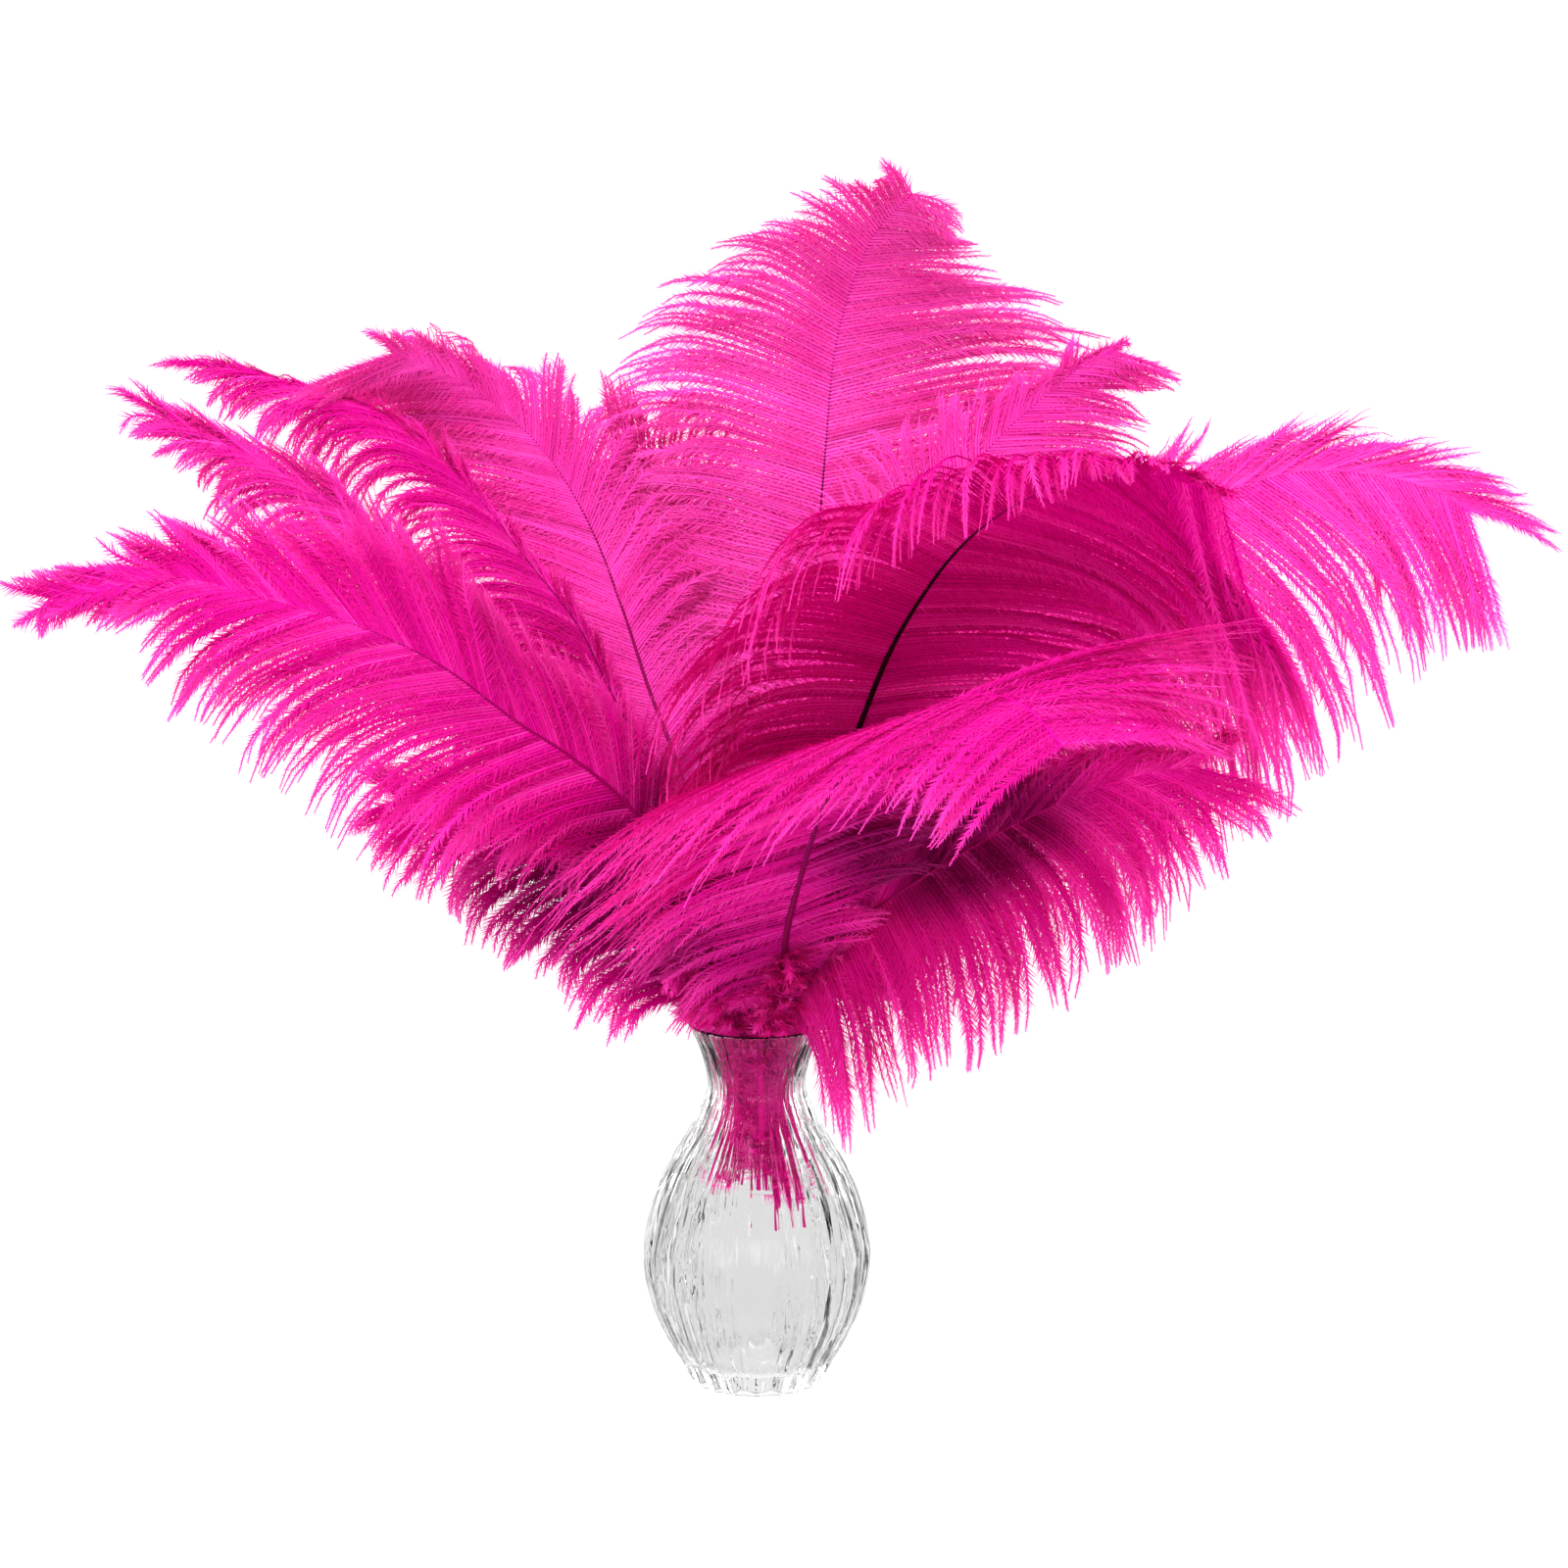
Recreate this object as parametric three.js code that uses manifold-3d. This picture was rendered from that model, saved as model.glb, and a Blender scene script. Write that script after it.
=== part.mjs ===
// A bunch of dyed ostrich plumes standing in a small fluted glass bud vase.
// Millimetres, +Z up. The origin is the middle of the vase's flat foot; -Y is the front of the bunch.
import * as THREE from "three";
import { mergeVertices } from "three/addons/utils/BufferGeometryUtils.js";
import Module from "manifold-3d";

const wasm = await Module();
wasm.setup();

// ---- Driving dimensions: the vase -------------------------------------------------------------
const RIM_HEIGHT = 125;
const FOOT_RADIUS = 22.4;
const WALL = 2.4;
const BASE_THICKNESS = 8;
const FLUTES = 18;
const FLUTE_DEPTH = 1.5;
// The flutes grow from below the foot to full depth at FLUTE_FULL and fade from FLUTE_FADE to FLUTE_TOP.
const FLUTE_START = -3;
const FLUTE_FULL = 2.5;
const FLUTE_FADE = 82;
const FLUTE_TOP = 103;
const STEPS_PER_FLUTE = 3;
const OUTER_STEPS = FLUTES * STEPS_PER_FLUTE;
const INNER_STEPS = OUTER_STEPS / 2;
// [height, outer radius], from the foot to the lip
const VASE_PROFILE = [
  [0, FOOT_RADIUS], [6, 25], [14, 29.6], [24, 34.4], [35, 37.6], [46, 38.6], [56, 37],
  [66, 33.9], [75, 29.9], [84, 24.6], [93, 19.6], [103, 16.6], [115, 18.8], [RIM_HEIGHT, 23],
];
const WELL_HEIGHTS = [BASE_THICKNESS, ...VASE_PROFILE.slice(3).map(([height]) => height)];

// ---- Driving dimensions: the plumes -----------------------------------------------------------
const NECK_HEIGHT = 98;
const NECK_RING = 9.4;
const MOUTH_HEIGHT = 124;
const MOUTH_RING = 12;
const VANE_START_HEIGHT = 131;
const QUILL_RADIUS = 1.45;
const RACHIS_TIP_RADIUS = 0.7;
const VANE_HALF_THICKNESS = 0.42;
const QUILL_EDGE_THICKNESS = 0.35;
const CLEARANCE = 0.4;
const ROUTE_SAMPLES = 240;
// Shares of the bare quill's length, from its cut end, at which it has a row of points.
const QUILL_STOPS = [0, 0.4, 0.75, 0.97];
const VANE_STATIONS = 8;
const BARB_STEPS = 12;
const BARB_STOPS = [0.05, 0.34, 0.67, 1];
const BARB_BEND = 0.3;
const DROOP_POWER = 1.4;
const SPREAD_POWER = 1.6;
const STIFF_FROM = 0.75;
const TIP_STIFFNESS = 0.5;
const SLIVER = 0.07;
const WELD = 1e-4;

// One row for each plume. azimuth: where its quill stands in the neck, in degrees from +X.
// foot: [distance from the axis, height] of the quill's cut end. route: the shaft above the mouth.
// face: the way the vane's face looks at the base, on the way and at the tip.
// left, right: [barb length, spread at the base, spread at the tip, droop, length left at the tip].
// fullness: [share of the barb length at the base, where it is full, where it starts to fall].
const PLUMES = [
  {
    name: "plume_front", azimuth: -80, foot: [8, 68],
    route: [[8, -18, 140], [10, -34, 164], [16, -52, 192], [23, -75, 218], [35, -105, 240],
      [51, -135, 258], [69, -158, 269], [82, -172, 268], [93, -178, 257]],
    face: [[-0.2, -1, 0.1], [0.25, -0.35, -0.9], [-0.2, 0.5, -0.7]],
    left: [126, 108, 92, 0.5, 0.45], right: [106, 60, 68, 0.35, 0.62], fullness: [0.3, 0.6, 0.75],
  },
  {
    name: "plume_big_right", azimuth: -12, foot: [9, 53],
    route: [[14, -10, 165], [25, -18, 203], [36, -28, 238], [47, -40, 266], [65, -58, 296],
      [83, -78, 314], [104, -98, 326], [124, -112, 329], [144, -118, 323]],
    face: [[0.2, -1, 0], [0.4, -0.85, -0.3], [0, -0.85, -0.5]],
    left: [110, 100, 44, 0.95, 0.12], right: [156, 76, 46, 0.95, 0.75], fullness: [0.35, 0.36, 0.5],
  },
  {
    name: "plume_centre_tall", azimuth: 78, foot: [8, 72],
    route: [[9, 34, 164], [15, 58, 207], [18, 80, 250], [21, 98, 295], [27, 110, 327],
      [32, 116, 357], [37, 113, 374], [42, 105, 386], [46, 95, 392]],
    face: [[0.05, -1, 0.2], [0.1, -0.97, 0.15], [0.1, -0.95, -0.1], [0.1, -0.8, -0.5]],
    left: [88, 84, 66, 0.62, 0.38], right: [100, 84, 66, 0.58, 0.42], fullness: [0.5, 0.3, 0.52],
  },
  {
    name: "plume_lower_left", azimuth: 232, foot: [9, 70],
    route: [[-23, -14, 163], [-40, -22, 201], [-61, -30, 222], [-77, -36, 234], [-102, -44, 255],
      [-129, -52, 270], [-157, -56, 279], [-184, -58, 284], [-222, -58, 279]],
    face: [[0.3, -0.75, 0.6], [0.1, -0.9, 0.4]],
    left: [84, 56, 8, 0.66, 0.3], right: [56, 40, 28, 0.05, 0.3], fullness: [0.35, 0.36, 0.45],
  },
  {
    name: "plume_left_broad", azimuth: 135, foot: [8, 72],
    route: [[-16, 22, 167], [-27, 40, 204], [-37, 54, 228], [-46, 66, 253], [-58, 78, 281],
      [-73, 84, 304], [-91, 84, 321], [-107, 78, 332], [-123, 66, 340]],
    face: [[0.1, -1, 0.15], [0, -0.98, 0.2], [-0.1, -0.9, 0.3]],
    left: [72, 62, 26, 0.5, 0.55], right: [42, 60, 32, 0.6, 0.4], fullness: [0.35, 0.36, 0.62],
  },
  {
    name: "plume_far_right", azimuth: 15, foot: [10, 64],
    route: [[19, 14, 162], [49, 26, 204], [92, 40, 251], [128, 50, 281], [163, 56, 296],
      [185, 58, 301], [208, 58, 300], [228, 55, 295], [244, 50, 287]],
    face: [[-0.3, -0.8, 0.5], [0.1, -0.8, 0.6]],
    left: [50, 42, 24, 0.3, 0.5], right: [106, 78, 32, 0.86, 0.42], fullness: [0.35, 0.36, 0.55],
  },
  {
    name: "plume_left_second", azimuth: 204, foot: [14, 66],
    route: [[-22, -4, 163], [-36, -6, 191], [-55, -8, 214], [-87, -8, 252], [-126, -6, 290],
      [-158, -2, 312], [-192, 2, 327]],
    face: [[0.45, -0.35, 0.8], [0.2, -0.5, 0.85]],
    left: [54, 52, 12, 0.9, 0.4], right: [38, 28, 14, 0.05, 0.8], fullness: [0.4, 0.36, 0.66],
  },
  {
    name: "plume_left_third", azimuth: 158, foot: [12, 72],
    route: [[-20, 8, 171], [-33, 18, 202], [-50, 28, 233], [-60, 32, 253], [-75, 36, 272],
      [-99, 42, 301], [-122, 46, 320], [-145, 50, 329], [-179, 54, 338]],
    face: [[0.6, -0.25, 0.6], [0.2, -0.5, 0.85]],
    left: [60, 50, 8, 0.9, 0.42], right: [22, 24, 7, 0.2, 0.7], fullness: [0.4, 0.36, 0.66],
  },
  {
    name: "plume_upper_right", azimuth: 45, foot: [8, 72],
    route: [[14, 26, 166], [26, 46, 209], [46, 64, 257], [73, 76, 299], [96, 80, 322],
      [112, 78, 335], [121, 74, 340]],
    face: [[-0.1, -1, 0.2], [-0.1, -0.9, 0.4]],
    left: [50, 70, 20, 0.5, 0.2], right: [74, 66, 34, 0.6, 0.34], fullness: [0.35, 0.36, 0.55],
  },
  {
    name: "plume_lower_right", azimuth: -45, foot: [8, 68],
    route: [[16, -16, 143], [32, -28, 164], [57, -40, 185], [85, -50, 204], [113, -56, 217],
      [138, -58, 220]],
    face: [[-0.3, -0.5, 0.8], [0, -0.6, 0.8]],
    left: [60, 50, 26, 0.8, 0.45], right: [78, 80, 34, 1, 0.62], fullness: [0.9, 0.3, 0.6],
  },
  {
    name: "plume_lower_back", azimuth: 181, foot: [9, 70],
    route: [[-24, 4, 141], [-43, 14, 159], [-70, 22, 177], [-97, 30, 189], [-120, 34, 193]],
    face: [[0.3, -0.6, 0.7], [0.1, -0.7, 0.7]],
    left: [56, 68, 30, 0.85, 0.5], right: [50, 55, 28, 0.5, 0.5], fullness: [0.85, 0.3, 0.7],
  },
  {
    name: "plume_centre_left", azimuth: 108, foot: [8, 72],
    route: [[-7, 36, 164], [-13, 60, 200], [-17, 80, 230], [-21, 94, 254], [-25, 98, 278],
      [-30, 96, 292], [-37, 92, 303]],
    face: [[0.05, -1, 0.1], [0, -0.95, 0.2]],
    left: [50, 60, 35, 0.5, 0.5], right: [54, 60, 35, 0.5, 0.5], fullness: [0.35, 0.36, 0.62],
  },
];

// ---- Materials --------------------------------------------------------------------------------
const dyedPlume = () => new THREE.MeshStandardMaterial({ color: 0xe4008a, roughness: 0.6, metalness: 0 });
const clearGlass = () => new THREE.MeshStandardMaterial({ color: 0xe9eeee, roughness: 0.05, metalness: 0 });

// ---- Shared geometry helpers ------------------------------------------------------------------
function meshOf(points, triangles) {
  const geometry = new THREE.BufferGeometry();
  geometry.setAttribute("position", new THREE.Float32BufferAttribute(points.flatMap((p) => p.toArray()), 3));
  geometry.setIndex(triangles);
  return mergeVertices(geometry, WELD);
}

function solidOf(geometry) {
  return new wasm.Manifold(new wasm.Mesh({
    numProp: 3,
    vertProperties: new Float32Array(geometry.attributes.position.array),
    triVerts: new Uint32Array(geometry.index.array),
  }));
}

function geometryOf(solid) {
  const mesh = solid.getMesh();
  const geometry = new THREE.BufferGeometry();
  geometry.setAttribute("position", new THREE.BufferAttribute(mesh.vertProperties, 3));
  geometry.setIndex(new THREE.BufferAttribute(mesh.triVerts, 1));
  geometry.computeVertexNormals();
  return geometry;
}

function smooth(from, to, x) {
  return THREE.MathUtils.smoothstep(x, from, to);
}

// Two triangles for each cell between row a and row b of a grid that wraps round.
function stitchRing(triangles, a, b, count) {
  for (let j = 0; j < count; j += 1) {
    const k = (j + 1) % count;
    triangles.push(a + j, a + k, b + k, a + j, b + k, b + j);
  }
}

// ---- The vase ---------------------------------------------------------------------------------
function outerRadius(height) {
  const above = VASE_PROFILE.findIndex(([z]) => z >= height);
  if (above <= 0) {
    return VASE_PROFILE[0][1];
  }
  const [z0, r0] = VASE_PROFILE[above - 1];
  const [z1, r1] = VASE_PROFILE[above];
  return r0 + ((r1 - r0) * (height - z0)) / (z1 - z0);
}

// How far the glass is drawn in at the groove between two flutes.
function groove(height, angle) {
  const strength = smooth(FLUTE_START, FLUTE_FULL, height) * (1 - smooth(FLUTE_FADE, FLUTE_TOP, height));
  const lobe = Math.abs(Math.sin((angle * FLUTES) / 2));
  return FLUTE_DEPTH * strength * (1 - lobe);
}

// Only the lip's edge moves up when the wall is thickened.
function lipGrow(height, grow) {
  return height === RIM_HEIGHT ? grow : 0;
}

// The vase as one closed wall and base; grow thickens it all round.
function vaseGeometry(grow) {
  const points = [];
  const triangles = [];
  const ring = (count, radiusAt, height) => {
    const start = points.length;
    for (let j = 0; j < count; j += 1) {
      const angle = (j / count) * 2 * Math.PI;
      const radius = radiusAt(angle);
      points.push(new THREE.Vector3(radius * Math.cos(angle), radius * Math.sin(angle), height));
    }
    return start;
  };
  const outer = VASE_PROFILE.map(([height, radius]) =>
    ring(OUTER_STEPS, (angle) => radius - groove(height, angle) + grow, height + lipGrow(height, grow)));
  outer.slice(1).forEach((row, i) => stitchRing(triangles, outer[i], row, OUTER_STEPS));

  const footCentre = points.push(new THREE.Vector3(0, 0, 0)) - 1;
  for (let j = 0; j < OUTER_STEPS; j += 1) {
    triangles.push(footCentre, outer[0] + ((j + 1) % OUTER_STEPS), outer[0] + j);
  }

  const innerRadius = (height) => {
    const fluted = 1 - smooth(FLUTE_TOP, RIM_HEIGHT, height);
    return outerRadius(height) - WALL - FLUTE_DEPTH * fluted;
  };
  const inner = [...WELL_HEIGHTS].reverse().map((height) =>
    ring(INNER_STEPS, () => innerRadius(height) - grow, height + lipGrow(height, grow)));
  inner.slice(1).forEach((row, i) => stitchRing(triangles, inner[i], row, INNER_STEPS));
  const wellCentre = points.push(new THREE.Vector3(0, 0, BASE_THICKNESS)) - 1;
  for (let j = 0; j < INNER_STEPS; j += 1) {
    triangles.push(wellCentre, inner.at(-1) + j, inner.at(-1) + ((j + 1) % INNER_STEPS));
  }

  // The lip joins the finer outer ring to the inner one: each inner step spans two outer steps.
  const lip = outer.at(-1);
  for (let j = 0; j < INNER_STEPS; j += 1) {
    const next = (j + 1) % INNER_STEPS;
    const a = lip + 2 * j;
    const b = lip + 2 * j + 1;
    const c = lip + ((2 * j + 2) % OUTER_STEPS);
    triangles.push(a, b, inner[0] + j, b, inner[0] + next, inner[0] + j, b, c, inner[0] + next);
  }
  return meshOf(points, triangles);
}

// ---- One plume --------------------------------------------------------------------------------
function polar(azimuth, radius, height) {
  const angle = THREE.MathUtils.degToRad(azimuth);
  return new THREE.Vector3(radius * Math.cos(angle), radius * Math.sin(angle), height);
}

// The shaft as evenly spaced samples, each with its tangent, face normal and side direction.
function shaftOf(plume) {
  const curve = new THREE.CatmullRomCurve3([
    polar(plume.azimuth, ...plume.foot),
    polar(plume.azimuth, NECK_RING, NECK_HEIGHT),
    polar(plume.azimuth, MOUTH_RING, MOUTH_HEIGHT),
    ...plume.route.map((p) => new THREE.Vector3(...p)),
  ], false, "centripetal");
  const faces = plume.face.map((v) => new THREE.Vector3(...v).normalize());
  const samples = [];
  for (let i = 0; i <= ROUTE_SAMPLES; i += 1) {
    const h = i / ROUTE_SAMPLES;
    const along = curve.getTangentAt(h);
    const span = Math.min(Math.floor(h * (faces.length - 1)), faces.length - 2);
    const face = faces[span].clone().lerp(faces[span + 1], h * (faces.length - 1) - span);
    face.addScaledVector(along, -face.dot(along)).normalize();
    const side = along.clone().cross(face);
    samples.push({ point: curve.getPointAt(h), along, face, side });
  }
  return samples;
}

function shaftAt(samples, h) {
  return samples[Math.round(h * ROUTE_SAMPLES)];
}

// The points at BARB_STOPS along the barb that leaves the shaft at share t of the vane.
function barbOf(plume, shaft, t, hand, grow) {
  const [reach, spreadBase, spreadTip, droop, tipShare] = hand < 0 ? plume.left : plume.right;
  const [baseShare, fullAt, fallAt] = plume.fullness;
  const length = reach * (baseShare + (1 - baseShare) * smooth(0, fullAt, t))
    * (1 - (1 - tipShare) * smooth(fallAt, 1, t));
  const spread = THREE.MathUtils.degToRad(spreadBase + (spreadTip - spreadBase) * t ** SPREAD_POWER);
  const start = shaft.along.clone().multiplyScalar(Math.cos(spread));
  start.addScaledVector(shaft.side, hand * Math.sin(spread));
  const down = new THREE.Vector3(0, 0, -1);
  const points = [shaft.point.clone()];
  for (let k = 0; k < BARB_STEPS; k += 1) {
    const u = (k + 0.5) / BARB_STEPS;
    const weight = droop * u ** DROOP_POWER * (1 - TIP_STIFFNESS * smooth(STIFF_FROM, 1, t));
    const heading = start.clone().addScaledVector(shaft.along, BARB_BEND * u).normalize();
    heading.multiplyScalar(1 - weight).addScaledVector(down, weight).normalize();
    points.push(points.at(-1).clone().addScaledVector(heading, length / BARB_STEPS));
  }
  const stops = BARB_STOPS.map((u) => {
    const x = u * BARB_STEPS;
    const k = Math.min(Math.floor(x), BARB_STEPS - 1);
    return points[k].clone().lerp(points[k + 1], x - k);
  });
  const outwards = points.at(-1).clone().sub(points.at(-2)).normalize();
  stops.at(-1).addScaledVector(outwards, grow);
  return stops;
}

// Like stitchRing, but the under half splits each cell along the same line as the upper half, so that
// a twisted cell's two sides never cross.
function stitchSheet(triangles, a, b, count) {
  for (let j = 0; j < count; j += 1) {
    const k = (j + 1) % count;
    if (j < count / 2) {
      triangles.push(a + j, a + k, b + k, a + j, b + k, b + j);
    } else {
      triangles.push(a + j, a + k, b + j, a + k, b + k, b + j);
    }
  }
}

// The vane and shaft as a thin closed sheet, thick along the shaft; grow widens it all round.
function plumeGeometry(plume, grow) {
  const samples = shaftOf(plume);
  const vaneStart = samples.findIndex((s) => s.point.z > VANE_START_HEIGHT) / ROUTE_SAMPLES;
  const stops = BARB_STOPS.length;
  const rows = [];
  for (const stop of QUILL_STOPS) {
    const shaft = shaftAt(samples, stop * vaneStart);
    const around = BARB_STOPS.map((u) => (u * Math.PI) / 2);
    const spread = around.map((angle) => (QUILL_RADIUS + grow) * Math.sin(angle));
    const sideRow = (hand) => spread.map((x) => shaft.point.clone().addScaledVector(shaft.side, hand * x));
    const lift = around.map((angle) =>
      Math.max((QUILL_RADIUS + grow) * Math.cos(angle), QUILL_EDGE_THICKNESS));
    rows.push({
      mid: [...sideRow(-1).reverse(), shaft.point.clone(), ...sideRow(1)],
      lift: [...lift.slice().reverse(), QUILL_RADIUS + grow, ...lift],
    });
  }
  for (let i = 0; i < VANE_STATIONS; i += 1) {
    const t = i / (VANE_STATIONS - 1);
    const shaft = shaftAt(samples, vaneStart + (1 - vaneStart) * t);
    const radius = QUILL_RADIUS + (RACHIS_TIP_RADIUS - QUILL_RADIUS) * t;
    const edge = BARB_STOPS.map(() => VANE_HALF_THICKNESS + grow);
    rows.push({
      mid: [
        ...barbOf(plume, shaft, t, -1, grow).reverse(),
        shaft.point.clone(),
        ...barbOf(plume, shaft, t, 1, grow),
      ],
      lift: [...edge, radius + grow, ...edge],
    });
  }

  const width = 2 * stops + 1;
  const points = [];
  rows.forEach((row, i) => {
    const before = rows[Math.max(i - 1, 0)].mid;
    const after = rows[Math.min(i + 1, rows.length - 1)].mid;
    const normals = row.mid.map((point, j) => {
      const along = after[j].clone().sub(before[j]);
      const across = row.mid[Math.min(j + 1, width - 1)].clone().sub(row.mid[Math.max(j - 1, 0)]);
      return across.cross(along).normalize();
    });
    row.mid.forEach((point, j) => points.push(point.clone().addScaledVector(normals[j], row.lift[j])));
    for (let j = width - 1; j >= 0; j -= 1) {
      points.push(row.mid[j].clone().addScaledVector(normals[j], -row.lift[j]));
    }
  });
  const loop = 2 * width;
  const triangles = [];
  for (let i = 0; i + 1 < rows.length; i += 1) {
    stitchSheet(triangles, i * loop, (i + 1) * loop, loop);
  }
  const last = (rows.length - 1) * loop;
  for (let j = 0; j + 1 < width; j += 1) {
    const [a, b, c, d] = [j, j + 1, loop - 2 - j, loop - 1 - j];
    triangles.push(a, c, b, a, d, c);
    triangles.push(last + a, last + b, last + c, last + a, last + c, last + d);
  }
  return meshOf(points, triangles);
}

function boxesMeet(a, b) {
  return [0, 1, 2].every((k) => a.min[k] <= b.max[k] && b.min[k] <= a.max[k]);
}

function largestPiece(solid) {
  return solid.decompose().reduce((best, piece) => (piece.volume() > best.volume() ? piece : best));
}

// ---- The bunch --------------------------------------------------------------------------------
const bunch = new THREE.Group();

const vase = new THREE.Mesh(vaseGeometry(0), clearGlass());
vase.name = "vase";
bunch.add(vase);

function without(body, others) {
  return others
    .filter((other) => boxesMeet(body.boundingBox(), other.boundingBox()))
    .reduce((rest, other) => rest.subtract(other), body);
}

// Each plume gives way to the glass and to the ones placed before it, with a small gap between them.
// The last cut, by the plumes themselves, takes off what the simplifying may have put back.
const grown = [solidOf(vaseGeometry(CLEARANCE))];
const placed = [];
for (const plume of PLUMES) {
  const cut = largestPiece(without(solidOf(plumeGeometry(plume, 0)), grown)).simplify(SLIVER);
  const vane = largestPiece(without(largestPiece(cut), placed));
  grown.push(solidOf(plumeGeometry(plume, CLEARANCE)));
  placed.push(vane);
  const mesh = new THREE.Mesh(geometryOf(vane), dyedPlume());
  mesh.name = plume.name;
  bunch.add(mesh);
}

export default bunch;
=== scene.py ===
import math

import bpy
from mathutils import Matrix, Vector
from mathutils.geometry import interpolate_bezier


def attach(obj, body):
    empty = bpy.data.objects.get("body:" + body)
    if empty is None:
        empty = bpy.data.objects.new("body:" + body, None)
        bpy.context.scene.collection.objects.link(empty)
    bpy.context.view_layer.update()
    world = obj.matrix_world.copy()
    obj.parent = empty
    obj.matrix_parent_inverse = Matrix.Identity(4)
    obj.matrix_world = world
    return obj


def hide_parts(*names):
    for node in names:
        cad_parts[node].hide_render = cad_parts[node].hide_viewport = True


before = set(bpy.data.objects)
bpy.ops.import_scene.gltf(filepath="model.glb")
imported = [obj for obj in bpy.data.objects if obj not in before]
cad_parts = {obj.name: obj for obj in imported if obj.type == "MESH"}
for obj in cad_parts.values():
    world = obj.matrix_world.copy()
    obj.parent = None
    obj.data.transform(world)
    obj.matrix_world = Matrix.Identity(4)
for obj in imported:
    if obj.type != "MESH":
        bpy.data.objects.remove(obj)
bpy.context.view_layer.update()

MM = 0.001

# ---- The bud vase -----------------------------------------------------------------------------
# One piece of clear glass, pressed in a fluted mould: a thick base, a round belly with
# eighteen wavy flutes, a narrow neck and a flared mouth whose lip was melted round in the flame.
RIM_HEIGHT = 125 * MM
BASE_THICKNESS = 8 * MM
WALL = 2.4 * MM
LIP_WALL = 1.3 * MM
VASE_PROFILE = [
    (0, 22.4), (6, 25), (14, 29.6), (24, 34.4), (35, 37.6), (46, 38.6), (56, 37),
    (66, 33.9), (75, 29.9), (84, 24.6), (93, 19.6), (103, 16.6), (115, 18.8), (125, 23),
]
PROFILE_HEIGHTS = [height * MM for height, radius in VASE_PROFILE]
PROFILE_RADII = [radius * MM for height, radius in VASE_PROFILE]
FLUTES = 18
FLUTE_DEPTH = 1.5 * MM
FLUTE_FADE = 82 * MM
FLUTE_TOP = 103 * MM
FLUTE_FOOT = (-0.003, 0.0025)
INNER_FLUTE_LAG = 0.4
DRIFT_ROUND, DRIFT_UP = 1.6, 26
RIPPLE_ROUND, RIPPLE_UP = 5, 55
POLE_FADE = 0.012
VASE_COLUMNS = 216
ROW_SPACING = 1.6 * MM
FOOT_ROUNDING = 1.5 * MM
WELL_ROUNDING = 4.5 * MM
LIP_STEPS = 8
GLASS_DEPTH = (0.86, 0.86, 0.86, 1)
GLASS_GLINT = (0.18, 0.18, 0.18, 1)
STREAKS_ROUND, STREAKS_UP = 6.5, 24


def worked(operation, output=0):
    """A method of Field: this operation on the field and any others."""
    def method(field, *others):
        return field.maths(operation, *others, output=output)
    return method


class Field:
    """One socket of a tree; sums and products of Fields add the maths nodes that work them out."""

    def __init__(self, tree, socket):
        self.tree = tree
        self.socket = socket

    def maths(self, operation, *others, output=0):
        fields = (self, *others)
        kinds = [field.socket.type for field in fields if isinstance(field, Field)]
        wide = "VECTOR" in kinds or "RGBA" in kinds
        node = self.tree.nodes.new("ShaderNodeVectorMath" if wide else "ShaderNodeMath")
        node.operation = operation
        for slot, field in zip(node.inputs, fields):
            self.tree.feed(slot, field)
        return Field(self.tree, node.outputs[output])

    __add__ = worked("ADD")
    __sub__ = worked("SUBTRACT")
    __mul__ = worked("MULTIPLY")
    __truediv__ = worked("DIVIDE")
    __pow__ = worked("POWER")
    __gt__ = worked("GREATER_THAN")
    least = worked("MINIMUM")
    most = worked("MAXIMUM")
    floor = worked("FLOOR")
    sine = worked("SINE")
    cosine = worked("COSINE")
    size = worked("ABSOLUTE")
    dot = worked("DOT_PRODUCT", "Value")
    cross = worked("CROSS_PRODUCT")
    unit = worked("NORMALIZE")

    def __neg__(self):
        return self * -1

    def part(self, letter):
        node = self.tree.nodes.new("ShaderNodeSeparateXYZ")
        self.tree.feed(node.inputs[0], self)
        return Field(self.tree, node.outputs[letter])


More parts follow.
